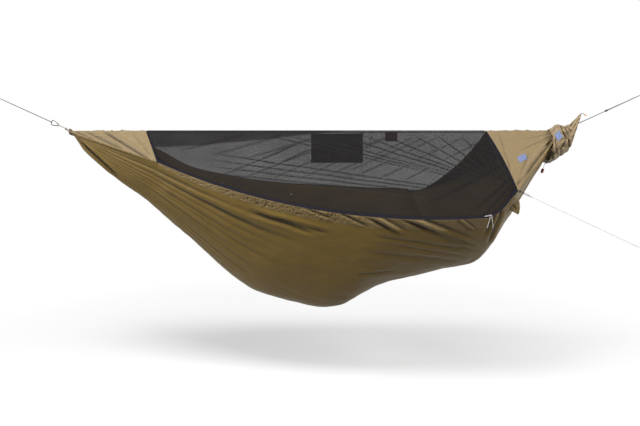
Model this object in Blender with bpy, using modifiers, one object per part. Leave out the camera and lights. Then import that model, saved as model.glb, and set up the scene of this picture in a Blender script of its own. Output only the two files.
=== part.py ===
"""A gathered-end hammock tent: a deep cloth bed hung between two anchors, with a mosquito net roof.

Metres, +Z up. The origin is the left anchor, where the left sling's end eye is held. +X runs along
the ridge from left to right, and -Y is the side with the zipped net door.
"""

import math

import bmesh
import bpy
from mathutils import Matrix, Vector

# Main sizes
RIDGE_LENGTH = 2.74
ANCHOR_REACH = 0.48
ANCHOR_RISE = 0.234
HALF_WIDTH = 0.445
BODY_DEPTH = 0.99

# Cloth, net and tape
CLOTH = 0.0012
NET = 0.001
TAPE = 0.0015
SEAM_GAP = 0.0007
FOLD_GAP = 0.0008
TOUCH_GAP = 0.0003
STRIP_WIDTH = 0.075
STRIP_END_WIDTH = 0.006
TAPE_WIDTH = 0.010
BINDING_WIDTH = 0.012
FOLD_DEPTH = 0.011
FOLDS = 5

# Ridge line and roof binding
RIDGE_RADIUS = 0.0022
BINDING_RADIUS = 0.0018
ROOF_RISE = 0.0086

# Gathered ends
NECK_RADIUS = 0.013
NECK_LENGTH = 0.028
EYE_AT = 0.048
NECK_DROP = 0.0065
WHIPPING_RADIUS = 0.0015
WHIPPING_TURNS = 4
WHIPPING_PITCH = 0.0036
LOOP_RADIUS = 0.0014
EYE_RADIUS = 0.0057
EYE_CORD = 0.0013

# Suspension, measured from a gathered end along its line to the anchor
LEFT_HOOK_AT = 0.092
RIGHT_HOOK_AT = 0.068
HOOK_LENGTH = 0.042
HOOK_WIDTH = 0.026
HOOK_WIRE = 0.0022
GATE_GAP = 0.0004
PIN_RADIUS = 0.0008
SLING_RADIUS = 0.0015
LEFT_BEAD_AT = 0.449
RIGHT_BEAD_AT = 0.274
BEAD_LENGTH = 0.018
BEAD_RADIUS = 0.0052
TAIL_RADIUS = 0.003
END_EYE = 0.011
END_EYE_CORD = 0.0022

# Tie-outs and guyline
WEBBING = 0.0012
WEBBING_WIDTH = 0.011
WEBBING_LENGTH = 0.018
WEBBING_HOLE = 0.0024
RING_RADIUS = 0.009
RING_WIRE = 0.0015
SHOCK_RADIUS = 0.0014
SHOCK_LENGTH = 0.034
GUY_RADIUS = 0.0012
GUY_LENGTH = 0.70
GUY_EYE = 0.0052
PEG_LOOP = 0.014
FLAP_LENGTH = 0.060
FLAP_TIP = 0.008
FLAP_FOLD = 0.005

# Zip
ZIP_GAP = 0.0014
SLIDER_LENGTH = 0.014
SLIDER_REACH = 0.0048
SLIDER_PLATE = 0.0012
BAIL_RISE = 0.0026
BAIL_RADIUS = 0.0007
BAIL_LENGTH = 0.0056
PULL_LENGTH = 0.034
PULL_WIDTH = 0.0062
PULL_THICKNESS = 0.0024
PULL_HOLE = 0.0019
PULL_TILT_DEGREES = 14
PULL_CORD_RADIUS = 0.0011
PULL_CORD_DROP = 0.066

# Organiser, hook cord and tag that hang from the ridge line
ORGANISER_WIDTH = 0.285
ORGANISER_HEIGHT = 0.163
ORGANISER_DROP = 0.0055
POCKET_HEIGHT = 0.105
POCKET_DEPTH = 0.016
PANEL = 0.0015
GROMMET = 0.0022
HANGER_WIRE = 0.0009
HANGER_RADIUS = 0.0062
TAIL_DROP = 0.048
TAIL_CORD_RADIUS = 0.001
TAG_WIDTH = 0.067
TAG_HEIGHT = 0.050
TAG_CLOTH = 0.001
HOOK_CORD_RADIUS = 0.0011
HOOK_CORD_DROP = 0.098
HOOK_CORD_SWAY = 0.007
LAMP_HOOK_RADIUS = 0.009
STUD_RADIUS = 0.006
STUD_HEIGHT = 0.004
PATCH = 0.0008
WELD = 0.00002

# Stow bag bunched on the right end
BAG_LENGTH = 0.18
BAG_HEIGHT = 0.17
BAG_DEPTH = 0.135
BAG_WALL = 0.0024
BAG_PLEATS = 9
BAG_PLEAT_DEPTH = 0.0045
DRAWCORD_RADIUS = 0.0012
DRAWCORD_DROP = 0.062
TOGGLE_LENGTH = 0.024
TOGGLE_RADIUS = 0.0075
TIP_LENGTH = 0.016
TIP_RADIUS = 0.0034

# Stations along the body, from the left gathered end (0) to the right one (1)
CORNER_SHARE, ZIP_END_SHARE, TIE_SHARE = 0.20, 0.74, 0.84

# (station, along the ridge, below the ridge) for the lowest line of the bed
BOTTOM_SHARES = (
    (0.0, 0.0092, 0.0),
    (0.05, 0.032, 0.108),
    (0.10, 0.067, 0.200),
    (0.15, 0.104, 0.281),
    (0.20, 0.150, 0.372),
    (0.26, 0.200, 0.499),
    (0.32, 0.252, 0.629),
    (0.38, 0.303, 0.763),
    (0.42, 0.342, 0.850),
    (0.46, 0.378, 0.910),
    (0.51, 0.443, 0.965),
    (0.56, 0.506, 1.0),
    (0.59, 0.545, 0.985),
    (0.62, 0.587, 0.912),
    (0.65, 0.626, 0.858),
    (0.69, 0.684, 0.818),
    (0.72, 0.736, 0.776),
    (0.76, 0.773, 0.758),
    (0.80, 0.801, 0.742),
    (0.84, 0.822, 0.664),
    (0.90, 0.877, 0.461),
    (0.96, 0.953, 0.156),
    (1.0, 0.9908, 0.0),
)
# (station, along, across, below) for the far rim
FAR_RIM_SHARES = (
    (0.0, 0.0092, 0.0, 0.0),
    (0.10, 0.078, 0.225, 0.050),
    (0.20, 0.155, 0.449, 0.099),
    (0.28, 0.226, 0.629, 0.220),
    (0.36, 0.313, 0.764, 0.287),
    (0.44, 0.402, 0.854, 0.329),
    (0.56, 0.530, 0.921, 0.358),
    (0.66, 0.620, 0.940, 0.372),
    (0.76, 0.690, 0.944, 0.380),
    (0.84, 0.732, 0.944, 0.381),
    (0.92, 0.866, 0.472, 0.190),
    (1.0, 0.9908, 0.0, 0.0),
)
ZIP_START_SHARES = (0.187, 0.382, 0.150)
ZIP_MIDDLE_SHARES = (0.506, 0.899, 0.381)
ZIP_END_SHARES = (0.8153, 0.989, 0.416)
TIE_OUT_SHARES = (0.878, 0.944, 0.274)
TIE_APPROACH_SHARES = (0.858, 0.970, 0.340)
TIE_CURVE_SHARE = 0.34
NECK_SHARE = 0.0092
LEFT_SEAM_SHARE, RIGHT_SEAM_SHARE = 0.155, 0.8435
NEAR_SEAM_BULGE_SHARES = (0.866, 0.50, 0.120)
FAR_SEAM_BULGE_SHARES = (0.788, 0.520, 0.195)
BED_LEFT_SHARES = (0.0, 0.025, 0.05, 0.10, 0.15)
BED_RIGHT_SHARES = (0.88, 0.92, 0.95, 0.975, 1.0)
ZIP_STEPS, CURVE_STEPS, BED_ACROSS = 20, 5, 18
TAPE_STEPS, DOOR_ROWS = 3, 5
ORGANISER_SHARE, HOOK_SHARE, TAG_SHARE = 0.5418, 0.6090, 0.6516
STUD_SHARE, STUD_CROSS_SHARE = 0.478, 0.985
PULL_DROP_SHARES = (0.0, -0.42, -0.9)
# (in front of the pull tab, beside it, below it, along it, past its end) for the cord
PULL_CORD_SHARES = (
    (1.5, 1.2, 1.0, -0.34, 0.0),
    (1.5, 0.9, 0.5, -0.16, 0.0),
    (1.4, 0.3, 0.05, -0.01, 0.0),
    (0.9, 0.0, 0.0, 0.0, 0.0),
    (-0.9, 0.0, 0.0, 0.0, 0.0),
    (-1.15, 0.0, 0.0, 0.0, 0.6),
    (-0.6, 0.0, 0.0, 0.0, 1.45),
    (0.6, 0.0, 0.0, 0.0, 1.45),
    (1.5, 0.6, 0.1, 0.02, 1.3),
    (1.5, 1.0, 0.5, 0.05, 1.3),
    (1.5, 1.2, 1.0, 0.07, 1.3),
)
GUY_HEADING_SHARES = (0.755, -0.56, -0.335)
FAR_HEADING_SHARES = (-0.2, 0.9, -0.39)
FLAP_SHARE, FLAP_CROSS_SHARE, FLAP_SPAN_SHARE = 0.834, 0.040, 0.030
LUG_SHARE, SEAM_START_SHARE = 1.18, 0.9
LABEL_SHARES = (0.925, -0.40, 0.115)
LABEL_EDGE_SHARE = 0.22
LAMP_SWAY_SHARES = (0.0, 1.0, -0.6, 0.9, -0.5, 0.4, 0.0)
# (top along, top up, bottom along, bottom up, depth) for each ring of the stow bag, in the frame
# of the right suspension line
BAG_SHARES = (
    (-0.4054, 0.2574, -0.8779, -0.6715, 1.0),
    (-0.2399, 0.2830, -0.6816, -0.7016, 0.87),
    (-0.0791, 0.2978, -0.4888, -0.6640, 0.73),
    (0.0346, 0.1924, -0.3130, -0.6400, 0.59),
    (0.1792, 0.1325, -0.1332, -0.6069, 0.46),
    (0.3459, 0.1610, 0.0460, -0.4744, 0.34),
    (0.5365, 0.2438, 0.1917, -0.2924, 0.25),
    (0.6989, 0.3129, 0.2614, -0.1833, 0.18),
)

COLOURS = {
    "cloth": ((0.235, 0.165, 0.068), 0.55, 0.0),
    "light_cloth": ((0.30, 0.22, 0.11), 0.55, 0.0),
    "net": ((0.035, 0.034, 0.04), 0.8, 0.0),
    "zip": ((0.02, 0.02, 0.035), 0.45, 0.0),
    "black_metal": ((0.02, 0.02, 0.022), 0.35, 1.0),
    "grey_cord": ((0.16, 0.17, 0.22), 0.7, 0.0),
    "dark_cord": ((0.02, 0.02, 0.022), 0.8, 0.0),
    "white_cord": ((0.75, 0.74, 0.72), 0.7, 0.0),
    "black_plastic": ((0.015, 0.015, 0.016), 0.4, 0.0),
    "maroon": ((0.13, 0.03, 0.04), 0.7, 0.0),
    "red_plastic": ((0.20, 0.015, 0.02), 0.35, 0.0),
    "orange_plastic": ((0.75, 0.20, 0.02), 0.4, 0.0),
    "blue_patch": ((0.10, 0.17, 0.36), 0.5, 0.0),
    "pale_plastic": ((0.7, 0.7, 0.68), 0.4, 0.0),
}


def start_scene():
    for item in list(bpy.data.objects):
        bpy.data.objects.remove(item, do_unlink=True)
    for name in ("hammock_tent", "cutters"):
        group = bpy.data.collections.new(name)
        bpy.context.scene.collection.children.link(group)


def material(name):
    made = bpy.data.materials.get(name)
    if made is None:
        colour, roughness, metallic = COLOURS[name]
        made = bpy.data.materials.new(name)
        made.use_nodes = True
        shader = made.node_tree.nodes["Principled BSDF"]
        shader.inputs["Base Color"].default_value = (*colour, 1.0)
        shader.inputs["Roughness"].default_value = roughness
        shader.inputs["Metallic"].default_value = metallic
    return made


def add(name, data, finish, origin=None):
    """A new object in the part's collection, with its origin moved to a point if one is given."""
    made = bpy.data.objects.new(name, data)
    if finish:
        data.materials.append(material(finish))
    bpy.data.collections["hammock_tent" if finish else "cutters"].objects.link(made)
    if not finish:
        made.hide_render = True
        made.display_type = "WIRE"
    if origin is not None:
        data.transform(Matrix.Translation(-Vector(origin)))
        made.location = origin
    return made


def mesh_from(shape, name, outward=False):
    if not outward:
        bmesh.ops.recalc_face_normals(shape, faces=shape.faces[:])
    data = bpy.data.meshes.new(name)
    shape.to_mesh(data)
    shape.free()
    return data


# Curves of the body


def spline(points, at):
    """A smooth curve through (station, coordinates...) rows, read at one station."""
    last = len(points) - 2
    i = 0
    while i < last and points[i + 1][0] < at:
        i += 1
    before, start, end, after = (
        points[max(i - 1, 0)],
        points[i],
        points[i + 1],
        points[min(i + 2, last + 1)],
    )
    span = end[0] - start[0]
    share = (at - start[0]) / span
    found = []
    for k in range(1, len(start)):
        slope_in = (end[k] - before[k]) / max(end[0] - before[0], span) * span
        slope_out = (after[k] - start[k]) / max(after[0] - start[0], span) * span
        found.append(
            (2 * share**3 - 3 * share**2 + 1) * start[k]
            + (share**3 - 2 * share**2 + share) * slope_in
            + (3 * share**2 - 2 * share**3) * end[k]
            + (share**3 - share**2) * slope_out
        )
    return found


def place(along, across, below):
    """A point of the body from shares of the ridge's length, the half width and the body's depth."""
    return Vector(
        (
            ANCHOR_REACH + along * RIDGE_LENGTH,
            across * HALF_WIDTH,
            -ANCHOR_RISE - below * BODY_DEPTH,
        )
    )


def near_place(shares):
    along, across, below = shares
    return place(along, -across, below)


def bezier(points, share):
    """The point of a Bezier curve with any number of control points."""
    points = list(points)
    while len(points) > 1:
        points = [a.lerp(b, share) for a, b in zip(points, points[1:])]
    return points[0]


class ZipArc:
    """The near rim's long stretch: one arc of a circle, in the plane of the net door."""

    def __init__(self):
        start, middle, end = (
            near_place(shares)
            for shares in (ZIP_START_SHARES, ZIP_MIDDLE_SHARES, ZIP_END_SHARES)
        )
        a, b = middle - start, end - start
        self.axis = b.cross(a).normalized()
        across = a.cross(b)
        self.centre = start + (
            across.cross(a) * b.length_squared - across.cross(b) * a.length_squared
        ) / (2 * across.length_squared)
        self.radius = (start - self.centre).length
        self.start = start
        self.sweep = (start - self.centre).angle(end - self.centre)

    def point(self, share, inset=0.0, lift=0.0):
        """A point on the arc, moved towards its centre by inset and along its axis by lift."""
        spoke = (self.start - self.centre).normalized()
        spoke.rotate(Matrix.Rotation(-self.sweep * share, 3, self.axis))
        return self.centre + spoke * (self.radius - inset) + self.axis * lift

    def tangent(self, share):
        spoke = (self.point(share) - self.centre).normalized()
        return spoke.cross(self.axis).normalized()


ARC = ZipArc()


def tie_curve():
    """The control points of the near rim's tight bend, from the zip arc up to the tie-out."""
    start, end = ARC.point(1.0), near_place(TIE_OUT_SHARES)
    reach = (end - start).length * TIE_CURVE_SHARE
    return start, start + ARC.tangent(1.0) * reach, near_place(TIE_APPROACH_SHARES), end


def gather_start(right):
    """The point on the ridge line where a gathered end's neck begins."""
    return place(1 - NECK_SHARE if right else NECK_SHARE, 0.0, 0.0)


def gather(right):
    """The centre of a gathered end's neck, where it begins."""
    return gather_start(right) - Vector((0, 0, NECK_DROP))


def suspension_way(right):
    anchor = Vector((2 * ANCHOR_REACH + RIDGE_LENGTH if right else 0.0, 0, 0))
    return (anchor - gather_start(right)).normalized()


def near_rim(u):
    if u <= CORNER_SHARE:
        start = gather(False) - Vector((0, NECK_RADIUS, 0))
        return start.lerp(ARC.start, max(u, 0.0) / CORNER_SHARE)
    if u <= ZIP_END_SHARE:
        return ARC.point((u - CORNER_SHARE) / (ZIP_END_SHARE - CORNER_SHARE))
    if u <= TIE_SHARE:
        return bezier(tie_curve(), (u - ZIP_END_SHARE) / (TIE_SHARE - ZIP_END_SHARE))
    end = gather(True) - Vector((0, NECK_RADIUS, 0))
    return near_place(TIE_OUT_SHARES).lerp(end, (u - TIE_SHARE) / (1 - TIE_SHARE))


def end_share(u):
    """1 at a gathered end, fading to 0 over a few stations."""
    return max(0.0, 1 - min(u, 1 - u) / BED_LEFT_SHARES[2])


def far_rim(u):
    return place(*spline(FAR_RIM_SHARES, u)) + end_share(u) * Vector(
        (0, NECK_RADIUS, -NECK_DROP)
    )


def bottom(u):
    along, below = spline(BOTTOM_SHARES, u)
    return place(along, 0.0, below) - end_share(u) * Vector(
        (0, 0, NECK_RADIUS + NECK_DROP)
    )


def bed_point(u, t):
    """The bed's middle surface: a sagging curve from the near rim (t 0) to the far rim (t 1)."""
    near, far, low = near_rim(u), far_rim(u), bottom(u)
    control = 2 * low - (near + far) / 2
    return bezier((near, control, far), t)


def bed_fold(u, t):
    """How far the cloth's folds, which fan out of the left gathered end, stand off the bed."""
    fade = max(0.0, 1 - u / ZIP_END_SHARE) * min(1.0, u / CORNER_SHARE)
    edge = math.sin(math.pi * t)
    return FOLD_DEPTH * fade * edge * math.sin(2 * math.pi * FOLDS * t)


def folded_bed_point(u, t):
    step = 0.01
    along = bed_point(min(u + step, 1), t) - bed_point(max(u - step, 0), t)
    across = bed_point(u, min(t + step, 1)) - bed_point(u, max(t - step, 0))
    return bed_point(u, t) + along.cross(across).normalized() * bed_fold(u, t)


def strip_width(u):
    """The width of the reinforced strip under the zip, widest near the zip's right end."""
    if not CORNER_SHARE <= u <= TIE_SHARE:
        return 0.0
    if u <= ZIP_END_SHARE:
        share = (u - CORNER_SHARE) / (ZIP_END_SHARE - CORNER_SHARE)
        return STRIP_END_WIDTH + (STRIP_WIDTH - STRIP_END_WIDTH) * math.sqrt(share)
    share = (u - ZIP_END_SHARE) / (TIE_SHARE - ZIP_END_SHARE)
    return STRIP_WIDTH + (STRIP_END_WIDTH - STRIP_WIDTH) * share


def strip_edge(u):
    """The bed's cross share at the strip's lower edge."""
    if strip_width(u) == 0.0:
        return 0.0
    step = 0.01
    length = (bed_point(u, step) - bed_point(u, 0.0)).length / step
    return strip_width(u) / length


# Sheets


def moved(point, towards, distance):
    return point + (towards - point).normalized() * distance


def trimmed(rows, first=0.0, last=0.0, start=0.0, end=0.0):
    """The rows again, drawn in by these distances at the first and last row and at each row's ends."""
    rows = [list(row) for row in rows]
    for row in rows:
        head, foot = moved(row[0], row[1], start), moved(row[-1], row[-2], end)
        row[0], row[-1] = head, foot
    top = [moved(a, b, first) for a, b in zip(rows[0], rows[1])]
    low = [moved(a, b, last) for a, b in zip(rows[-1], rows[-2])]
    rows[0], rows[-1] = top, low
    return rows


def sheet(name, rows, thickness, finish, origin=None, closed=False):
    """A cloth of even thickness over a grid of points on its middle surface."""
    shape = bmesh.new()
    grid = [[shape.verts.new(point) for point in row] for row in rows]
    if closed:
        grid = [[*row, row[0]] for row in grid]
    for upper, lower in zip(grid, grid[1:]):
        for a, b, c, d in zip(upper, upper[1:], lower[1:], lower):
            shape.faces.new((a, b, c, d))
    made = add(name, mesh_from(shape, name), finish, origin)
    made.data.shade_smooth()
    wall = made.modifiers.new("Wall", "SOLIDIFY")
    wall.thickness = thickness
    wall.offset = 0.0
    return made


def patch(top, low, left, right, rows, columns):
    """A grid that fills four edge curves, each a function of a share from 0 to 1."""
    grid = []
    for i in range(rows + 1):
        v = i / rows
        line = []
        for k in range(columns + 1):
            s = k / columns
            ruled = top(s).lerp(low(s), v) + left(v).lerp(right(v), s)
            corners = top(0).lerp(top(1), s).lerp(low(0).lerp(low(1), s), v)
            line.append(ruled - corners)
        grid.append(line)
    return grid


def stations_between(start, end, steps):
    return [start + (end - start) * i / steps for i in range(steps + 1)]


def zip_stations(finer=1):
    return (
        stations_between(CORNER_SHARE, ZIP_END_SHARE, ZIP_STEPS * finer)
        + stations_between(ZIP_END_SHARE, TIE_SHARE, CURVE_STEPS * finer)[1:]
    )


def neck_rows(row, right):
    """Copies of a gathered end's last row, along the straight neck."""
    way = suspension_way(right)
    return [[point + way * NECK_LENGTH * share for point in row] for share in (0.5, 1.0)]


def bed():
    stations = [*BED_LEFT_SHARES, *zip_stations(), *BED_RIGHT_SHARES]
    rows = []
    for u in stations:
        start = strip_edge(u)
        rows.append(
            [
                folded_bed_point(u, start + (1 - start) * i / BED_ACROSS)
                for i in range(BED_ACROSS + 1)
            ]
        )
    rows = neck_rows(rows[0], False)[::-1] + rows + neck_rows(rows[-1], True)
    half = SEAM_GAP / 2
    rows = trimmed(rows, end=FOLD_GAP)
    for row, u in zip(rows, [0.0, 0.0, *stations, 1.0, 1.0]):
        row[0] = moved(row[0], row[1], half if strip_width(u) else FOLD_GAP)
    sheet("hammock_bed", rows, CLOTH, "cloth")


def near_side_strip():
    """The strip's upper edge follows the zip's fine stations, its lower edge the bed's own."""
    edge = [folded_bed_point(u, strip_edge(u)) for u in zip_stations()]
    rows = []
    for i, u in enumerate(zip_stations(TAPE_STEPS)):
        k = min(i // TAPE_STEPS, len(edge) - 2)
        low = edge[k].lerp(edge[k + 1], i / TAPE_STEPS - k)
        rows.append([near_rim(u), low])
    half = SEAM_GAP / 2
    rows = trimmed(rows, half, half, FOLD_GAP, half)
    sheet("near_side_strip", rows, CLOTH, "light_cloth")


def ridge_point(along, rise=ROOF_RISE):
    return place(along, 0.0, 0.0) + Vector((0, 0, rise))


def near_seam_left(share):
    """The door's left seam, from the ridge to the near corner."""
    return ridge_point(LEFT_SEAM_SHARE).lerp(ARC.start, share)


def near_seam_right(share):
    bulge = near_place(NEAR_SEAM_BULGE_SHARES)
    return bezier(
        (ridge_point(RIGHT_SEAM_SHARE), bulge, near_place(TIE_OUT_SHARES)), share
    )


def far_seam_left(share):
    return ridge_point(LEFT_SEAM_SHARE).lerp(far_rim(CORNER_SHARE), share)


def far_seam_right(share):
    bulge = place(*FAR_SEAM_BULGE_SHARES)
    return bezier((ridge_point(RIGHT_SEAM_SHARE), bulge, far_rim(TIE_SHARE)), share)


def panel_row(u, top, half_steps):
    """A line across an end panel: near rim, over the ridge, far rim."""
    near, far = near_rim(u), far_rim(u)
    swell = end_share(u)
    row = []
    for side, steps in ((near, range(half_steps)), (far, range(half_steps, -1, -1))):
        out = Vector((0, side.y, 0)) * swell
        corner = side.lerp(top, 0.5) + out * 0.5
        row += [bezier((side, corner, top), i / half_steps) for i in steps]
    return row


def end_panel(name, right):
    """A cloth that closes one end of the roof: it folds over the ridge and joins both rims."""
    half_steps = DOOR_ROWS
    inner = TIE_SHARE if right else CORNER_SHARE
    stations = [*BED_LEFT_SHARES, CORNER_SHARE]
    if right:
        stations = [*BED_RIGHT_SHARES[::-1], TIE_SHARE]
    near_seam, far_seam = (
        (near_seam_right, far_seam_right) if right else (near_seam_left, far_seam_left)
    )
    near_top, far_top = near_seam(0.0), far_seam(0.0)
    seam = [near_seam(1 - i / half_steps) for i in range(half_steps)]
    seam.append(near_top.lerp(far_top, 0.5))
    seam += [far_seam(i / half_steps) for i in range(1, half_steps + 1)]
    rows = []
    for u in stations:
        step = (1 - u) / (1 - inner) if right else u / inner
        end = gather(right) + Vector((0, 0, NECK_RADIUS))
        top = end.lerp(seam[half_steps], step)
        row = panel_row(u, top, half_steps)
        straight = panel_row(inner, seam[half_steps], half_steps)
        blend = step**2
        row = [p + (edge - q) * blend for p, edge, q in zip(row, seam, straight)]
        rows.append(row)
    rows = neck_rows(rows[0], right)[::-1] + rows
    half = SEAM_GAP / 2
    sheet(name, trimmed(rows, 0.0, half, FOLD_GAP, FOLD_GAP), CLOTH, "light_cloth")


def rim_inset(u, inset):
    """A point of the near rim moved into the door's plane by inset."""
    if u <= ZIP_END_SHARE:
        return ARC.point((u - CORNER_SHARE) / (ZIP_END_SHARE - CORNER_SHARE), inset)
    step = 0.004
    ahead, behind = near_rim(min(u + step, TIE_SHARE)), near_rim(u - step)
    inward = (ahead - behind).cross(ARC.axis).normalized()
    return near_rim(u) + inward * inset


def seam_way(right):
    """The direction up a side seam of the door from its foot, and how much longer a step along
    it is than the step's distance from the rim."""
    seam, foot = (near_seam_right, TIE_SHARE) if right else (near_seam_left, CORNER_SHARE)
    way = (seam(SEAM_START_SHARE) - seam(1)).normalized()
    step = 0.004
    rim = near_rim(foot) - near_rim(foot - step if right else foot + step)
    return way, 1 / way.cross(rim.normalized()).length


def mitred(u, inset):
    """The same, but on a side seam of the door at either end of the zip."""
    if u not in (CORNER_SHARE, TIE_SHARE):
        return rim_inset(u, inset)
    way, longer = seam_way(u == TIE_SHARE)
    return near_rim(u) + way * inset * longer


def station_at(share):
    """The zip's station at a share of its length, evenly along its stations."""
    stations = zip_stations()
    at = share * (len(stations) - 1)
    i = min(int(at), len(stations) - 2)
    return stations[i] + (stations[i + 1] - stations[i]) * (at - i)


def hinge_axis_point(along):
    return ridge_point(along)


def zip_tape(name, inner, outer, origin=None):
    rows = [[mitred(u, inner), mitred(u, outer)] for u in zip_stations(TAPE_STEPS)]
    half, middle = SEAM_GAP / 2, ZIP_GAP / 2
    start, end = (FOLD_GAP, middle) if inner < TAPE_WIDTH else (middle, half)
    sheet(name, trimmed(rows, half, half, start, end), TAPE, "zip", origin)


def off_seam(seam, share, point, towards, distance):
    """A point moved towards another, until it is this distance away from a side seam."""
    step = 0.02
    tangent = (seam(share + step) - seam(share - step)).normalized()
    way = (towards - point).normalized()
    return point + way * distance / way.cross(tangent).length


def seam_tape(name, right):
    """A narrow tape along one side seam of the door, lying on the door's side of it."""
    seam, towards = near_seam_left, near_seam_right
    if right:
        seam, towards = towards, seam
    rows = []
    for i in range(DOOR_ROWS + 1):
        share = i / DOOR_ROWS
        edge, goal = seam(share), towards(share)
        rows.append(
            [
                off_seam(seam, share, edge, goal, SEAM_GAP / 2),
                off_seam(seam, share, edge, goal, TAPE_WIDTH),
            ]
        )
    foot = 2 * TAPE_WIDTH * seam_way(right)[1] + SEAM_GAP + TAPE_WIDTH
    sheet(name, trimmed(rows, TAPE_WIDTH, foot), TAPE, "zip")


def net_door():
    """The near half of the net: it hangs from the roof binding and zips along its other edges."""
    inset = 2 * TAPE_WIDTH
    side = TAPE_WIDTH + SEAM_GAP
    reach = (near_seam_left(0) - ARC.start).length
    left_foot = 1 - inset * seam_way(False)[1] / reach
    reach = (near_seam_right(0) - near_seam_right(1)).length
    right_foot = 1 - inset * seam_way(True)[1] / reach

    def top(s):
        return near_seam_left(0).lerp(near_seam_right(0), s)

    def low(s):
        return mitred(station_at(s), inset)

    def left(v):
        return near_seam_left(v * left_foot)

    def right(v):
        return near_seam_right(v * right_foot)

    left, right = ending_at(left, low(0)), ending_at(right, low(1))
    rows = patch(top, low, left, right, DOOR_ROWS, ZIP_STEPS + CURVE_STEPS)
    for i, row in enumerate(rows):
        share = i / DOOR_ROWS
        row[0] = off_seam(near_seam_left, share, row[0], row[1], side)
        row[-1] = off_seam(near_seam_right, share * right_foot, row[-1], row[-2], side)
    rows = trimmed(rows, BINDING_RADIUS + SEAM_GAP, SEAM_GAP / 2)
    sheet("net_door", rows, NET, "net", hinge_axis_point(LEFT_SEAM_SHARE))


def far_edge(share, inset):
    """A point of the far rim at a share of its length, moved up the far net by inset."""
    top = far_seam_left(0).lerp(far_seam_right(0), share)
    if share == 1:
        top = far_seam_right(SEAM_START_SHARE)
    return moved(far_rim(station_at(share)), top, inset)


def ending_at(curve, goal):
    """The curve again, eased so that it ends at a goal."""
    shift = goal - curve(1)
    return lambda share: curve(share) + shift * share


def far_net():
    reach = (far_seam_right(0) - far_seam_right(1)).length
    foot = 1 - BINDING_WIDTH / reach

    def top(s):
        return far_seam_left(0).lerp(far_seam_right(0), s)

    def low(s):
        return far_edge(s, BINDING_WIDTH)

    def left(v):
        return top(0).lerp(low(0), v)

    def right(v):
        return far_seam_right(v * foot)

    right = ending_at(right, low(1))
    rows = patch(top, low, left, right, DOOR_ROWS, ZIP_STEPS + CURVE_STEPS)
    clear = BINDING_RADIUS + SEAM_GAP
    half = SEAM_GAP / 2
    sheet("far_net", trimmed(rows, clear, half, half * 2, half * 6), NET, "net")


def far_rim_binding():
    count = ZIP_STEPS + CURVE_STEPS
    rows = [
        [far_edge(i / count, 0.0), far_edge(i / count, BINDING_WIDTH)]
        for i in range(count + 1)
    ]
    half = SEAM_GAP / 2
    rows = trimmed(rows, 2 * half, BINDING_WIDTH, FOLD_GAP, half)
    sheet("far_rim_binding", rows, CLOTH, "dark_cord")


# Cords


def tube(name, points, radius, finish, resolution=2, closed=False, origin=None):
    """A round cord through its points."""
    data = bpy.data.curves.new(name, "CURVE")
    data.dimensions = "3D"
    data.bevel_depth = radius
    data.bevel_resolution = resolution
    data.use_fill_caps = not closed
    line = data.splines.new("POLY")
    line.points.add(len(points) - 1)
    for spot, point in zip(line.points, points):
        spot.co = (*point, 1.0)
    line.use_cyclic_u = closed
    return add(name, data, finish, origin)


def as_mesh(item):
    """The object again as a mesh with its caps welded, in place of a curve."""
    bpy.context.view_layer.update()
    graph = bpy.context.evaluated_depsgraph_get()
    data = bpy.data.meshes.new_from_object(item.evaluated_get(graph))
    shape = bmesh.new()
    shape.from_mesh(data)
    shape.transform(item.matrix_world)
    bmesh.ops.remove_doubles(shape, verts=shape.verts[:], dist=WELD)
    bmesh.ops.recalc_face_normals(shape, faces=shape.faces[:])
    data.clear_geometry()
    shape.to_mesh(data)
    shape.free()
    name, groups = item.name, item.users_collection
    hidden, display = item.hide_render, item.display_type
    bpy.data.objects.remove(item, do_unlink=True)
    made = bpy.data.objects.new(name, data)
    for group in groups:
        group.objects.link(made)
    made.hide_render, made.display_type = hidden, display
    return made


def combine(target, other, operation):
    """Joins another object to the target, or cuts it away, and removes it."""
    tool = target.modifiers.new("Join", "BOOLEAN")
    tool.operation = operation
    tool.object = other
    tool.solver = "EXACT"
    bpy.context.view_layer.update()
    graph = bpy.context.evaluated_depsgraph_get()
    data = bpy.data.meshes.new_from_object(target.evaluated_get(graph))
    target.modifiers.clear()
    target.data = data
    bpy.data.objects.remove(other, do_unlink=True)
    return target


def smooth_line(points, steps):
    """Points of a smooth curve through the given ones."""
    rows = [(i, *point) for i, point in enumerate(points)]
    count = len(points) - 1
    return [Vector(spline(rows, count * i / steps)) for i in range(steps + 1)]


def ring_points(centre, normal, radius, count):
    normal = Vector(normal).normalized()
    first = normal.orthogonal().normalized()
    second = normal.cross(first)
    return [
        Vector(centre)
        + first * radius * math.cos(2 * math.pi * i / count)
        + second * radius * math.sin(2 * math.pi * i / count)
        for i in range(count)
    ]


def box(name, low, high, finish):
    shape = bmesh.new()
    bmesh.ops.create_cube(shape, size=1.0)
    low, high = Vector(low), Vector(high)
    size = Matrix.Diagonal((*(high - low), 1.0))
    shape.transform(Matrix.Translation((low + high) / 2) @ size)
    return add(name, mesh_from(shape, name, True), finish)


def pole(name, start, end, radius, finish, sides=16, end_radius=None):
    """A straight round piece from one point to another."""
    start, end = Vector(start), Vector(end)
    shape = bmesh.new()
    bmesh.ops.create_cone(
        shape,
        cap_ends=True,
        segments=sides,
        radius1=radius,
        radius2=radius if end_radius is None else end_radius,
        depth=(end - start).length,
    )
    turn = Vector((0, 0, 1)).rotation_difference(end - start).to_matrix().to_4x4()
    shape.transform(Matrix.Translation((start + end) / 2) @ turn)
    return add(name, mesh_from(shape, name, True), finish)


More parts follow.
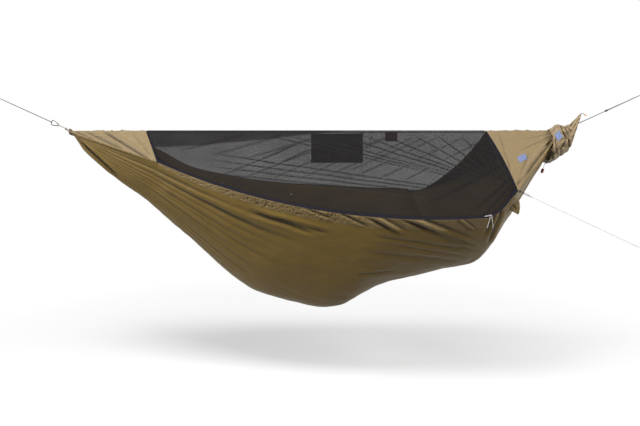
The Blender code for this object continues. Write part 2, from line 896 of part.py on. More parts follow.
def ridge_and_binding():
    """The ridge line, with an eye at each end round the gather loop's two strands."""
    points = []
    eyes = []
    for right in (False, True):
        start, way = gather_start(right), suspension_way(right)
        across = Vector((0, 1, 0))
        up = way.cross(across) if right else across.cross(way)
        inner = start + way * (NECK_LENGTH + EYE_CORD)
        outer = start + way * (EYE_AT + EYE_CORD) - up * EYE_RADIUS
        points += [inner, outer, start] if right else [outer, inner, start]
        rim = ring_points(start + way * EYE_AT, way, EYE_RADIUS, 12)
        eyes.append(as_mesh(tube("eye", rim, EYE_CORD, None, closed=True)))
    points = [*points[:3], points[5], points[3], points[4]]
    line = as_mesh(tube("ridge_line", points, RIDGE_RADIUS, "dark_cord"))
    for eye in eyes:
        combine(line, eye, "UNION")
    start, end = (
        hinge_axis_point(LEFT_SEAM_SHARE) + Vector((TAPE_WIDTH, 0, 0)),
        hinge_axis_point(RIGHT_SEAM_SHARE) - Vector((TAPE_WIDTH, 0, 0)),
    )
    tube("roof_binding", [start, end], BINDING_RADIUS, "dark_cord")


class Suspension:
    """Places along one end's suspension line, and its cords and hook."""

    def __init__(self, side, right, hook_at, bead_at):
        self.side, self.right = side, right
        self.hook_at, self.bead_at = hook_at, bead_at
        self.way = suspension_way(right)
        self.start = gather_start(right)
        self.across = Vector((0, 1, 0))
        self.up = self.way.cross(self.across) if right else self.across.cross(self.way)
        anchor = Vector((2 * ANCHOR_REACH + RIDGE_LENGTH if right else 0.0, 0, 0))
        self.length = (anchor - self.start).length

    def at(self, along, across=0.0, up=0.0):
        return self.start + self.way * along + self.across * across + self.up * up

    def neck(self, along, turn, radius):
        """A point round the neck at a turn from its +Y side, rising with the turn."""
        return (
            gather(self.right)
            + self.way * along
            + Vector((0, radius * math.cos(turn), radius * math.sin(turn)))
        )

    def whipping(self):
        """Turns of cord that bind the gathered cloth, as one unbroken helix."""
        radius = NECK_RADIUS + CLOTH / 2 + SEAM_GAP + WHIPPING_RADIUS
        count = 15
        start = NECK_LENGTH - WHIPPING_RADIUS - WHIPPING_TURNS * WHIPPING_PITCH
        points = [
            self.neck(
                start + WHIPPING_PITCH * i / count, 2 * math.pi * i / count, radius
            )
            for i in range(WHIPPING_TURNS * count + 1)
        ]
        least = min(
            (a - b).length
            for i, a in enumerate(points)
            for b in points[i + count // 2 :]
        )
        clear = (least - 2 * WHIPPING_RADIUS) * 1000
        print(f"{self.side} whipping: least gap to itself {clear:.2f} mm")
        name = f"{self.side}_gather_whipping"
        tube(name, points, WHIPPING_RADIUS, "grey_cord", resolution=1)

    def gather_loop(self):
        """A closed loop that runs under the neck, behind the whipping, and over the hook's bar."""
        radius = NECK_RADIUS + CLOTH / 2 + SEAM_GAP + LOOP_RADIUS
        clear = radius + 2 * WHIPPING_RADIUS + TOUCH_GAP
        seat = NECK_LENGTH - WHIPPING_TURNS * WHIPPING_PITCH - 5 * WHIPPING_RADIUS
        collar = [self.neck(seat, -math.pi * i / 10, radius) for i in range(11)]
        narrow = LOOP_RADIUS + 2 * TOUCH_GAP
        bight = HOOK_WIRE + TOUCH_GAP + LOOP_RADIUS
        outward = [
            self.neck(seat + 2 * LOOP_RADIUS, 0.0, clear),
            self.neck(NECK_LENGTH, 0.0, clear),
            self.at(EYE_AT, narrow),
            self.at(self.hook_at - HOOK_WIRE, bight),
        ]
        tip = [
            self.at(self.hook_at + bight * math.sin(a), bight * math.cos(a))
            for a in (math.pi * i / 8 for i in range(9))
        ]
        back = [Vector((p.x, -p.y, p.z)) for p in outward]
        points = [*outward, *tip, *back[::-1], *collar[::-1]]
        name = f"{self.side}_gather_loop"
        tube(name, points, LOOP_RADIUS, "grey_cord", closed=True)

    def hook(self):
        """A pear-shaped wire hook whose straight side is a sprung gate on a pin."""
        half, wire = HOOK_WIDTH / 2, HOOK_WIRE
        near, far = self.hook_at, self.hook_at + HOOK_LENGTH
        outline = [
            (near + 0.78 * HOOK_LENGTH, half),
            (near + 0.94 * HOOK_LENGTH, 0.82 * half),
            (far, 0.25 * half),
            (far - 0.02 * HOOK_LENGTH, -0.45 * half),
            (near + 0.86 * HOOK_LENGTH, -0.95 * half),
            (near + 0.60 * HOOK_LENGTH, -0.92 * half),
            (near + 0.30 * HOOK_LENGTH, -0.62 * half),
            (near + 0.06 * HOOK_LENGTH, -0.28 * half),
            (near, 0.05 * half),
            (near + 0.07 * HOOK_LENGTH, 0.38 * half),
            (near + 0.20 * HOOK_LENGTH, 0.56 * half),
        ]
        points = smooth_line([self.at(a, 0.0, b) for a, b in outline], 30)
        nose = points[0]
        run = (nose - points[-1]).normalized()
        pivot = points[-1] + run * (wire * 1.4)
        points.append(pivot)
        frame = as_mesh(tube(f"{self.side}_hook", points, wire, "black_metal"))
        ear = PIN_RADIUS * 1.6
        slot = wire - ear
        lug = pole(
            "lug",
            pivot - self.across * wire * LUG_SHARE,
            pivot + self.across * wire * LUG_SHARE,
            wire * LUG_SHARE,
            None,
        )
        combine(frame, lug, "UNION")
        cut = box("slot", (-wire, -slot, -wire), (wire, slot, wire), None)
        turn = self.frame_of(run)
        cut.data.transform(
            Matrix.Translation(pivot + run * wire * 0.6)
            @ turn
            @ Matrix.Diagonal((1.35, 1.0, 2.0, 1.0))
        )
        combine(frame, cut, "DIFFERENCE")
        hole = pole(
            "hole",
            pivot - self.across * 2 * wire,
            pivot + self.across * 2 * wire,
            PIN_RADIUS + GATE_GAP / 2,
            None,
        )
        combine(frame, hole, "DIFFERENCE")
        self.pivot = pivot
        pin = pole(
            f"{self.side}_gate_pin",
            pivot - self.across * (wire * LUG_SHARE + TOUCH_GAP),
            pivot + self.across * (wire * LUG_SHARE + TOUCH_GAP),
            PIN_RADIUS,
            "black_metal",
        )
        pin.data.shade_smooth()
        tongue = slot - GATE_GAP
        gate = box(
            f"{self.side}_hook_gate",
            (-wire * 0.45, -tongue, -wire * 0.5),
            (wire * 2.4, tongue, wire * 0.5),
            "black_metal",
        )
        gate.data.transform(Matrix.Translation(pivot) @ turn)
        reach = nose - run * (GATE_GAP + wire * 0.5)
        rod = pole("rod", pivot + run * wire * 1.9, reach, wire * 0.8, None)
        combine(gate, rod, "UNION")
        bore = pole(
            "bore",
            pivot - self.across * 2 * wire,
            pivot + self.across * 2 * wire,
            PIN_RADIUS + GATE_GAP / 2,
            None,
        )
        combine(gate, bore, "DIFFERENCE")
        gate.data.transform(Matrix.Translation(-pivot))
        gate.location = pivot

    def frame_of(self, run):
        """A turn whose X axis runs along run and whose Y axis runs across the hook."""
        side = run.cross(self.across).normalized()
        turn = Matrix((run, self.across, side)).transposed()
        return turn.to_4x4()

    def sling(self):
        """A doubled cord from the hook to its bead, then the thick spliced end with an eye."""
        bead, turn = self.bead_at, self.hook_at + HOOK_LENGTH
        half = HOOK_WIRE + TOUCH_GAP + SLING_RADIUS
        narrow = SLING_RADIUS + TOUCH_GAP
        out = [
            self.at(bead - TOUCH_GAP, narrow),
            self.at(bead - BEAD_LENGTH, narrow * 1.3),
            self.at((bead + turn) / 2, half),
            self.at(turn + HOOK_WIRE, half),
        ]
        bight = [
            self.at(turn - half * math.sin(a), half * math.cos(a))
            for a in (math.pi * i / 8 for i in range(9))
        ]
        back = [Vector((p.x, -p.y, p.z)) for p in out[::-1]]
        tube(f"{self.side}_sling_loop", [*out, *bight, *back], SLING_RADIUS, "grey_cord")
        profile = (0.62, 0.95, 1.0, 1.0, 0.95, 0.62)
        self.turned(f"{self.side}_sling_bead", bead, BEAD_LENGTH, BEAD_RADIUS, profile)
        tail_start = bead + BEAD_LENGTH + TOUCH_GAP
        eye_centre = self.length
        tail_end = eye_centre - END_EYE
        tail = as_mesh(
            tube(
                f"{self.side}_sling_tail",
                [self.at(tail_start), self.at(tail_end)],
                TAIL_RADIUS,
                "grey_cord",
            )
        )
        stretch = 1.25
        rim = [
            self.at(
                eye_centre + stretch * END_EYE * math.cos(a),
                0.0,
                END_EYE * math.sin(a),
            )
            for a in (2 * math.pi * i / 14 for i in range(14))
        ]
        eye = as_mesh(tube("eye", rim, END_EYE_CORD, None, closed=True))
        combine(tail, eye, "UNION")

    def turned(self, name, start, length, radius, profile):
        """A round piece along the suspension line whose radius follows a list of shares."""
        shape = bmesh.new()
        rings = []
        for i, share in enumerate(profile):
            centre = self.at(start + length * i / (len(profile) - 1))
            rings.append(
                [
                    shape.verts.new(
                        centre
                        + self.across * radius * share * math.cos(a)
                        + self.up * radius * share * math.sin(a)
                    )
                    for a in (2 * math.pi * k / 16 for k in range(16))
                ]
            )
        for a, b in zip(rings, rings[1:]):
            for k in range(16):
                j = (k + 1) % 16
                shape.faces.new((a[k], a[j], b[j], b[k]))
        shape.faces.new(rings[0])
        shape.faces.new(rings[-1])
        made = add(name, mesh_from(shape, name), "black_plastic")
        made.data.shade_smooth()

    def build(self):
        self.whipping()
        self.gather_loop()
        self.hook()
        self.sling()


# Tie-outs


def tie_out(side, corner, heading, taut):
    """A webbing tab with an eyelet at a roof corner, and the ring that is pulled or hangs in it."""
    across = heading.cross(Vector((0, 0, 1))).normalized()
    rise = across.cross(heading).normalized()
    frame = Matrix((heading, across, rise)).transposed().to_4x4()
    start = corner + heading * (TOUCH_GAP + CLOTH / 2)
    half = WEBBING_WIDTH / 2
    name = f"{side}_tie_out_webbing"
    tab = box(
        name, (0, -WEBBING / 2, -half), (WEBBING_LENGTH, WEBBING / 2, half), "dark_cord"
    )
    tab.data.transform(Matrix.Translation(start) @ frame)
    eyelet = start + heading * (WEBBING_LENGTH - 2 * WEBBING_HOLE)
    hole = pole(
        "hole", eyelet - across * half, eyelet + across * half, WEBBING_HOLE, None
    )
    combine(tab, hole, "DIFFERENCE")
    pull = heading if taut else Vector((0, 0, -1))
    centre = eyelet + pull * RING_RADIUS
    rim = ring_points(centre, across.cross(pull), RING_RADIUS, 18)
    name = f"{side}_tie_out_ring"
    tube(name, rim, RING_WIRE, "black_metal", closed=True, origin=eyelet)
    return centre, heading, rise


def shock_cord_and_guyline(centre, heading, rise):
    """A short elastic loop through the near ring, and the guyline tied into it."""
    near = centre + heading * (RING_RADIUS - RING_WIRE - TOUCH_GAP - SHOCK_RADIUS)
    far = near + heading * SHOCK_LENGTH
    spread = SHOCK_RADIUS + TOUCH_GAP
    wide = RING_WIRE + SHOCK_RADIUS + TOUCH_GAP
    rim = []
    for i in range(9):
        a = math.pi * i / 8
        rim.append(near + rise * wide * math.cos(a) - heading * SHOCK_RADIUS * math.sin(a))
    for i in range(9):
        a = math.pi * i / 8
        swing = -rise * (GUY_RADIUS + spread) * math.cos(a)
        rim.append(far + swing + heading * spread * math.sin(a))
    tube("shock_cord", rim, SHOCK_RADIUS, "dark_cord", closed=True, origin=centre)
    eye_centre = far + heading * (GUY_EYE - GUY_RADIUS - TOUCH_GAP)
    rim = ring_points(eye_centre, rise, GUY_EYE, 12)
    start = eye_centre + heading * GUY_EYE
    end = start + heading * GUY_LENGTH
    line = as_mesh(tube("guyline", [start, end], GUY_RADIUS, "white_cord"))
    for points in (rim, ring_points(end + heading * PEG_LOOP, rise, PEG_LOOP, 14)):
        eye = as_mesh(tube("eye", points, GUY_RADIUS, None, closed=True))
        combine(line, eye, "UNION")
    line.data.transform(Matrix.Translation(-centre))
    line.location = centre


def surface_normal(u, t):
    """The bed's normal, pointing out of the sleeping space."""
    step = 0.01
    along = bed_point(min(u + step, 1), t) - bed_point(u - step, t)
    across = bed_point(u, min(t + step, 1)) - bed_point(u, max(t - step, 0))
    return across.cross(along).normalized()


def tie_out_flap():
    """A folded cloth flap that hangs from the bed just under the near tie-out."""
    columns = 6
    root = []
    for i in range(columns + 1):
        u = FLAP_SHARE + FLAP_SPAN_SHARE * (i / columns - 0.5)
        out = surface_normal(u, FLAP_CROSS_SHARE) * (CLOTH + TOUCH_GAP)
        root.append(bed_point(u, FLAP_CROSS_SHARE) + out)
    middle = root[columns // 2]
    side = (root[-1] - root[0]).normalized()
    out = surface_normal(FLAP_SHARE, FLAP_CROSS_SHARE)
    way = out * 0.45 + Vector((0.25, 0, -1))
    tip = middle + way.normalized() * FLAP_LENGTH
    rows = []
    for step in (0.0, 0.33, 0.66, 1.0):
        row = []
        for i, point in enumerate(root):
            goal = tip + side * FLAP_TIP * (i / columns - 0.5)
            fold = out * FLAP_FOLD * math.sin(math.pi * step) * (i % 2)
            row.append(point.lerp(goal, step) + fold)
        rows.append(row)
    sheet("tie_out_flap", rows, CLOTH, "cloth")


# Zip slider


def zip_slider():
    """The slider straddles the zip's gap, and its pull tab turns on a bail over its outer plate."""
    share = 1.0
    centre = ARC.point(share, TAPE_WIDTH)
    along, outward = ARC.tangent(share), -ARC.axis
    inward = outward.cross(along).normalized()
    frame = Matrix((along, inward, outward)).transposed().to_4x4()
    turn = Matrix.Translation(centre) @ frame
    half = SLIDER_LENGTH / 2
    level = TAPE / 2 + TOUCH_GAP
    core = ZIP_GAP / 2 - TOUCH_GAP
    body = box(
        "zip_slider",
        (-half, -SLIDER_REACH, -level - SLIDER_PLATE),
        (half, SLIDER_REACH, -level),
        "zip",
    )
    overlap = SLIDER_PLATE / 2
    parts = [
        box(
            "core",
            (-half, -core, -level - overlap),
            (half, core, level + overlap),
            None,
        ),
        box(
            "plate",
            (-half, -SLIDER_REACH, level),
            (half, core, level + SLIDER_PLATE),
            None,
        ),
    ]
    top = level + SLIDER_PLATE
    middle = (core - SLIDER_REACH) / 2
    bar = top + BAIL_RISE
    post = BAIL_RADIUS
    for way in (-1, 1):
        y = middle + way * (BAIL_LENGTH / 2 - post) * (SLIDER_REACH + core) / BAIL_LENGTH
        parts.append(
            box(
                "post",
                (-post, y - post, top - overlap),
                (post, y + post, bar + post),
                None,
            )
        )
    first, last = parts[2], parts[3]
    low = min(v.co.y for v in first.data.vertices)
    high = max(v.co.y for v in last.data.vertices)
    parts.append(
        pole(
            "bail", (0, low + post, bar), (0, high - post, bar), BAIL_RADIUS, None, 12
        )
    )
    for item in parts:
        combine(body, item, "UNION")
    body.data.transform(Matrix.Translation(-ARC.centre) @ turn)
    body.location = ARC.centre
    pull_tab(turn, middle, bar, (high - low) / 2 - 2 * post - TOUCH_GAP)


def pull_tab(turn, middle, bar, reach):
    """A tab with a collar round the bail and a hole for the pull cord at its free end."""
    pin = Matrix.Translation((0, middle, bar))
    tilt = Matrix.Rotation(-math.radians(PULL_TILT_DEGREES), 4, "Y")
    turn = turn @ pin @ tilt @ pin.inverted()
    thick = PULL_THICKNESS / 2
    tab = box(
        "zip_pull_tab",
        (0, middle - reach, bar - thick),
        (PULL_LENGTH, middle + reach, bar + thick),
        "zip",
    )
    collar = pole(
        "collar",
        (0, middle - reach, bar),
        (0, middle + reach, bar),
        thick * 1.15,
        None,
    )
    combine(tab, collar, "UNION")
    bore = pole(
        "bore",
        (0, middle - 2 * reach, bar),
        (0, middle + 2 * reach, bar),
        BAIL_RADIUS + GATE_GAP / 2,
        None,
        12,
    )
    combine(tab, bore, "DIFFERENCE")
    at = PULL_LENGTH - PULL_HOLE
    wide = box(
        "wide",
        (2 * thick * 1.15 + thick, middle - PULL_WIDTH / 2, bar - thick * 0.8),
        (PULL_LENGTH + PULL_HOLE, middle + PULL_WIDTH / 2, bar + thick * 0.8),
        None,
    )
    combine(tab, wide, "UNION")
    hole = pole(
        "hole", (at, middle, bar - 4 * thick), (at, middle, bar + 4 * thick), PULL_HOLE, None
    )
    combine(tab, hole, "DIFFERENCE")
    pivot = turn @ Vector((0, middle, bar))
    tab.data.transform(Matrix.Translation(-pivot) @ turn)
    tab.location = pivot
    eye = turn @ Vector((at, middle, bar))
    normal = (turn.to_3x3() @ Vector((0, 0, 1))).normalized()
    clear = thick + PULL_CORD_RADIUS + TOUCH_GAP
    drop = Vector(PULL_DROP_SHARES)
    sway, lead = Vector((1, 0, 0)), (turn.to_3x3() @ Vector((1, 0, 0))).normalized()
    edge = (turn.to_3x3() @ Vector((0, -1, 0))).normalized()
    out = PULL_WIDTH / 2 + PULL_CORD_RADIUS + TOUCH_GAP
    guide = []
    for front, beside, below, aside, ahead in PULL_CORD_SHARES:
        guide.append(
            eye
            + normal * clear * front
            + edge * out * beside
            + drop * PULL_CORD_DROP * below
            + sway * PULL_CORD_DROP * aside
            + lead * (PULL_HOLE + PULL_CORD_RADIUS + TOUCH_GAP) * ahead
        )
    points = smooth_line(guide, 36)
    name = "zip_pull_cord"
    tube(name, points, PULL_CORD_RADIUS, "white_cord", resolution=1, origin=pivot)


# Things that hang from the ridge line


def organiser():
    """A cloth organiser with one wide pocket, on two wire rings round the ridge line."""
    middle = place(ORGANISER_SHARE, 0.0, 0.0)
    top = middle.z - ORGANISER_DROP
    half, low = ORGANISER_WIDTH / 2, top - ORGANISER_HEIGHT
    panel = box(
        "organiser_panel",
        (middle.x - half, -PANEL / 2, low),
        (middle.x + half, PANEL / 2, top),
        "dark_cord",
    )
    hook_z = middle.z - 2 * HANGER_RADIUS + RIDGE_RADIUS + HANGER_WIRE + TOUCH_GAP
    hole_z = hook_z - GROMMET + HANGER_WIRE + 2 * TOUCH_GAP
    for side, way in (("left", -1), ("right", 1)):
        x = middle.x + way * (half - 4 * GROMMET)
        hole = pole(
            "hole", (x, -half, hole_z), (x, half, hole_z), GROMMET, None
        )
        combine(panel, hole, "DIFFERENCE")
        centre = Vector((x, 0, hook_z + HANGER_RADIUS))
        rim = ring_points(centre, (1, 0, 0), HANGER_RADIUS, 14)
        name = f"organiser_ring_{side}"
        tube(name, rim, HANGER_WIRE, "black_metal", resolution=1, closed=True)
    rows = []
    steps = 12
    for v in (0.0, 0.35, 0.7, 1.0):
        row = []
        for i in range(steps + 1):
            share = i / steps
            bulge = math.sin(math.pi * share) ** 0.5 * (1 - v**2)
            y = -(PANEL + TOUCH_GAP) - POCKET_DEPTH * bulge
            x = middle.x + (2 * share - 1) * half
            row.append(Vector((x, y, low + POCKET_HEIGHT * (1 - v))))
        rows.append(row)
    sheet("organiser_pocket", rows, PANEL, "dark_cord")
    for side, way in (("left", -1), ("right", 1)):
        x = middle.x + way * (half - 2 * GROMMET)
        start = Vector((x, 0, low - TOUCH_GAP))
        guide = [
            start,
            start + Vector((way * TAIL_DROP * 0.06, 0, -TAIL_DROP * 0.5)),
            start + Vector((way * TAIL_DROP * 0.2, 0, -TAIL_DROP)),
        ]
        name = f"organiser_tail_{side}"
        points = smooth_line(guide, 8)
        tube(name, points, TAIL_CORD_RADIUS, "dark_cord", resolution=1)


def lamp_hook():
    """A thin cord looped over the ridge line, that hangs in zigzags to a small open hook."""
    top = place(HOOK_SHARE, 0.0, 0.0)
    radius = RIDGE_RADIUS + HOOK_CORD_RADIUS + TOUCH_GAP
    sway = HOOK_CORD_SWAY
    points = [
        top + Vector((0, -radius * math.cos(a), radius * math.sin(a)))
        for a in (math.pi * (i - 2) / 10 for i in range(13))
    ][::-1]
    start = points[-1]
    guide = [start]
    for i, share in enumerate(LAMP_SWAY_SHARES):
        drop = HOOK_CORD_DROP * (i + 0.6) / len(LAMP_SWAY_SHARES)
        y = start.y * (1 - drop / HOOK_CORD_DROP)
        guide.append(Vector((top.x + sway * share, y, top.z - radius - drop)))
    line = smooth_line(guide, 30)
    foot = line[-1]
    centre = foot + Vector((-LAMP_HOOK_RADIUS, 0, -LAMP_HOOK_RADIUS))
    curl = [
        centre + Vector((LAMP_HOOK_RADIUS * math.cos(a), 0, LAMP_HOOK_RADIUS * math.sin(a)))
        for a in (-math.pi * i / 12 for i in range(14))
    ]
    route = points[:-1] + line + curl
    tube("lamp_hook_cord", route, HOOK_CORD_RADIUS, "dark_cord", resolution=1)


def ridge_tag():
    """A small cloth tag folded over the ridge line."""
    middle = place(TAG_SHARE, 0.0, 0.0)
    radius = RIDGE_RADIUS + TOUCH_GAP + TAG_CLOTH / 2
    profile = [(-radius, -TAG_HEIGHT)]
    profile += [
        (-radius * math.cos(a), radius * math.sin(a))
        for a in (math.pi * i / 8 for i in range(9))
    ]
    profile.append((radius, -TAG_HEIGHT * 0.8))
    half = TAG_WIDTH / 2
    rows = [
        [middle + Vector((way * half, y, z)) for y, z in profile] for way in (-1, 1)
    ]
    sheet("ridge_tag", rows, TAG_CLOTH, "maroon")


def field_at(name, goal):
    """The four corners of the flat field of a cloth that lies nearest to a goal."""
    data = bpy.data.objects[name].data
    fields = [[data.vertices[v].co.copy() for v in f.vertices] for f in data.polygons]
    return min(fields, key=lambda field: (sum(field, Vector()) / 4 - goal).length)


def wall_stud():
    """A small pale button on the inside of the far wall, just under its rim."""
    a, b, c, d = field_at("hammock_bed", bed_point(STUD_SHARE, STUD_CROSS_SHARE))
    out = (b - a).cross(d - a).normalized()
    if out.y < 0:
        out.negate()
    base = (a + b + c + d) / 4 - out * (CLOTH / 2 + SEAM_GAP)
    tip = base - out * STUD_HEIGHT
    stud = pole("far_wall_stud", base, tip, STUD_RADIUS, "pale_plastic", 20)
    stud.data.shade_smooth()


# Stow bag


def bag_ring(shares, columns, lift=0.0):
    """The points of one ring of the bag's pleated wall, moved outwards by lift."""
    along_top, up_top, along_low, up_low, depth = shares
    end, way = place(1.0, 0.0, 0.0), suspension_way(True)
    rise = way.cross(Vector((0, 1, 0)))
    top = end + way * along_top * BAG_LENGTH + rise * up_top * BAG_HEIGHT
    low = end + way * along_low * BAG_LENGTH + rise * up_low * BAG_HEIGHT
    middle, reach = (top + low) / 2, (top - low) / 2
    points = []
    for a in columns:
        pleat = BAG_PLEAT_DEPTH * math.sin(BAG_PLEATS * a) if lift == 0.0 else lift
        size = 1 + pleat / reach.length
        wide = BAG_DEPTH * depth + pleat
        points.append(
            middle
            + reach * math.cos(a) * size
            - Vector((0, wide * math.sin(a), 0))
        )
    return points


def stow_bag():
    """A gathered cloth sleeve that is pushed over the right end; the sling runs out of its tip."""
    count = BAG_PLEATS * 4
    columns = [2 * math.pi * i / count for i in range(count)]
    rows = [bag_ring(shares, columns) for shares in BAG_SHARES]
    sheet("stow_bag", rows, BAG_WALL, "cloth", closed=True)
    lift = BAG_PLEAT_DEPTH + BAG_WALL / 2 + PATCH / 2 + SEAM_GAP
    sides = [0.32 * math.pi + 0.26 * math.pi * i / 12 for i in range(13)]
    rows = []
    for step in (0.0, 0.5, 1.0):
        first, second = (
            bag_ring(shares, sides, lift) for shares in (BAG_SHARES[2], BAG_SHARES[3])
        )
        rows.append([a.lerp(b, 0.1 + 0.8 * step) for a, b in zip(first, second)])
    sheet("bag_label", rows, PATCH, "blue_patch")
    bag_cords()


def bag_cords():
    """The drawcord of the bag's wide mouth with its toggle, and the short one at its tip."""
    hem = bag_ring(BAG_SHARES[0], [math.pi])[0]
    start = hem - Vector((0, 0, BAG_WALL / 2 + TOUCH_GAP))
    way = Vector((-0.32, -0.05, -1)).normalized()
    points = [start + way * DRAWCORD_DROP * i / 12 for i in range(13)]
    tube("bag_lower_drawcord", points, DRAWCORD_RADIUS, "dark_cord")
    at = start + way * (DRAWCORD_DROP - TOGGLE_LENGTH - 4 * DRAWCORD_RADIUS)
    toggle = pole(
        "bag_toggle", at, at + way * TOGGLE_LENGTH, TOGGLE_RADIUS, "red_plastic", 20
    )
    bore = pole(
        "bore",
        at - way * TOGGLE_LENGTH,
        at + way * 2 * TOGGLE_LENGTH,
        DRAWCORD_RADIUS + TOUCH_GAP,
        None,
        12,
    )
    combine(toggle, bore, "DIFFERENCE")
    toggle.data.transform(Matrix.Translation(-at))
    toggle.location = at
    tip = bag_ring(BAG_SHARES[-1], [0.0])[0]
    way = Vector((1, -0.2, -0.1)).normalized()
    start = tip + way * (BAG_WALL / 2 + TOUCH_GAP)
    end = start + way * TIP_LENGTH
    guide = [start, start.lerp(end, 0.5) + Vector((0, 0, TIP_LENGTH * 0.25)), end]
    tube("bag_upper_drawcord", smooth_line(guide, 10), DRAWCORD_RADIUS, "dark_cord")
    start = end + way * TOUCH_GAP * 2
    cap = pole(
        "bag_cord_tip",
        start,
        start + (way + Vector((0, 0, -0.6))).normalized() * TIP_LENGTH,
        TIP_RADIUS,
        "orange_plastic",
        16,
        TIP_RADIUS * 0.6,
    )
    cap.data.shade_smooth()


def panel_label():
    """A plain stitched patch on the right end panel, inside one flat field of its cloth."""
    a, b, c, d = field_at("right_end_panel", place(*LABEL_SHARES))
    out = (b - a).cross(d - a).normalized()
    if out.y > 0:
        out.negate()
    lift = out * (CLOTH / 2 + PATCH / 2 + SEAM_GAP)
    rows = []
    for i in range(3):
        v = LABEL_EDGE_SHARE + (1 - 2 * LABEL_EDGE_SHARE) * i / 2
        row = []
        for k in range(3):
            s = LABEL_EDGE_SHARE + (1 - 2 * LABEL_EDGE_SHARE) * k / 2
            row.append(a.lerp(b, s).lerp(d.lerp(c, s), v) + lift)
        rows.append(row)
    sheet("panel_label", rows, PATCH, "blue_patch")


def main():
    start_scene()
    bed()
    near_side_strip()
    end_panel("left_end_panel", False)
    end_panel("right_end_panel", True)
    zip_tape("zip_tape_lower", 0.0, TAPE_WIDTH)
    origin = hinge_axis_point(LEFT_SEAM_SHARE)
    zip_tape("zip_tape_upper", TAPE_WIDTH, 2 * TAPE_WIDTH, origin)
    seam_tape("left_seam_tape", False)
    seam_tape("right_seam_tape", True)
    net_door()
    far_net()
    far_rim_binding()
    ridge_and_binding()
    for side, right, hook_at, bead_at in (
        ("left", False, LEFT_HOOK_AT, LEFT_BEAD_AT),
        ("right", True, RIGHT_HOOK_AT, RIGHT_BEAD_AT),
    ):
        Suspension(side, right, hook_at, bead_at).build()
    corner = near_place(TIE_OUT_SHARES)
    heading = Vector(GUY_HEADING_SHARES).normalized()
    shock_cord_and_guyline(*tie_out("near", corner, heading, True))
    heading = Vector(FAR_HEADING_SHARES).normalized()
    tie_out("far", far_rim(TIE_SHARE), heading, False)
    tie_out_flap()
    zip_slider()
    organiser()
    lamp_hook()
    ridge_tag()
    wall_stud()
    stow_bag()
    panel_label()


main()
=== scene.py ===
"""The looks of a hammock tent: a gathered-end cloth bed under a mosquito net roof."""

import math

import bmesh
import bpy
import numpy as np
from mathutils import Matrix, Vector, noise
from mathutils.bvhtree import BVHTree


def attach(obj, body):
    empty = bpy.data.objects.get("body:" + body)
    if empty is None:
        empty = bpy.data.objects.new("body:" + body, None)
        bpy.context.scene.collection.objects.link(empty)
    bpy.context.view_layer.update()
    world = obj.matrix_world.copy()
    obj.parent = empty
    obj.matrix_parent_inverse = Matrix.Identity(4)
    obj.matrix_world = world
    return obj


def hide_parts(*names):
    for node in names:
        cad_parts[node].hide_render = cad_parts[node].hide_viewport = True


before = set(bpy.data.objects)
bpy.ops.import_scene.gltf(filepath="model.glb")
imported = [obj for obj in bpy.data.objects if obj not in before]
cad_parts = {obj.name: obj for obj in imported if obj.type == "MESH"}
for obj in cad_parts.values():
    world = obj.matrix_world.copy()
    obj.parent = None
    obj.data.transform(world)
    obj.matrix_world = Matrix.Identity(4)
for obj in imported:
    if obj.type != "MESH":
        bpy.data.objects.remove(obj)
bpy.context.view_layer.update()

# Sizes of the body, in metres
RIDGE_LENGTH, ANCHOR_REACH, ANCHOR_RISE = 2.74, 0.48, 0.234
HALF_WIDTH, BODY_DEPTH = 0.445, 0.99
STRIP_WIDTH, STRIP_END_WIDTH = 0.075, 0.006
TAPE_WIDTH, ROOF_RISE = 0.010, 0.0086
NECK_RADIUS, NECK_LENGTH, NECK_DROP, NECK_SHARE = 0.013, 0.028, 0.0065, 0.0092
CORNER, ZIP_END, TIE = 0.20, 0.74, 0.84
BED_CLOTH, NET_CLOTH, TAPE_CLOTH = 0.0008, 0.0006, 0.0012

# The front view: its target, distance, tilt, and focal length in pixels of a picture 640 wide
VIEW_TARGET, VIEW_REACH, VIEW_TILT, FOCAL = Vector((1.870, 0.0, -0.6875)), 5.00, math.radians(9), 888.9
VIEW_WAY = Vector((0, math.cos(VIEW_TILT), -math.sin(VIEW_TILT)))
VIEW_UP = Vector((0, math.sin(VIEW_TILT), math.cos(VIEW_TILT)))
VIEW_EYE = VIEW_TARGET - VIEW_WAY * VIEW_REACH
FRONT = Vector((0, -1, 0))

BOTTOM_SHARES = (
    (0.0, 0.0092, 0.0), (0.05, 0.032, 0.108), (0.10, 0.067, 0.200), (0.15, 0.104, 0.281),
    (0.20, 0.150, 0.372), (0.26, 0.200, 0.499), (0.32, 0.252, 0.629), (0.38, 0.303, 0.763),
    (0.42, 0.342, 0.850), (0.46, 0.378, 0.910), (0.51, 0.443, 0.965), (0.56, 0.506, 1.0),
    (0.59, 0.545, 0.985), (0.62, 0.587, 0.912), (0.65, 0.626, 0.858), (0.69, 0.684, 0.818),
    (0.72, 0.736, 0.776), (0.76, 0.773, 0.758), (0.80, 0.801, 0.742), (0.84, 0.822, 0.664),
    (0.90, 0.877, 0.461), (0.96, 0.953, 0.156), (1.0, 0.9908, 0.0),
)
FAR_RIM_SHARES = (
    (0.0, 0.0092, 0.0, 0.0), (0.10, 0.078, 0.225, 0.050), (0.20, 0.155, 0.449, 0.099),
    (0.28, 0.226, 0.629, 0.220), (0.36, 0.313, 0.764, 0.287), (0.44, 0.402, 0.854, 0.329),
    (0.56, 0.530, 0.921, 0.358), (0.66, 0.620, 0.940, 0.372), (0.76, 0.690, 0.944, 0.380),
    (0.84, 0.732, 0.944, 0.381), (0.92, 0.866, 0.472, 0.190), (1.0, 0.9908, 0.0, 0.0),
)
ZIP_START, ZIP_MIDDLE, ZIP_STOP = (0.187, 0.382, 0.150), (0.506, 0.899, 0.381), (0.8153, 0.989, 0.416)
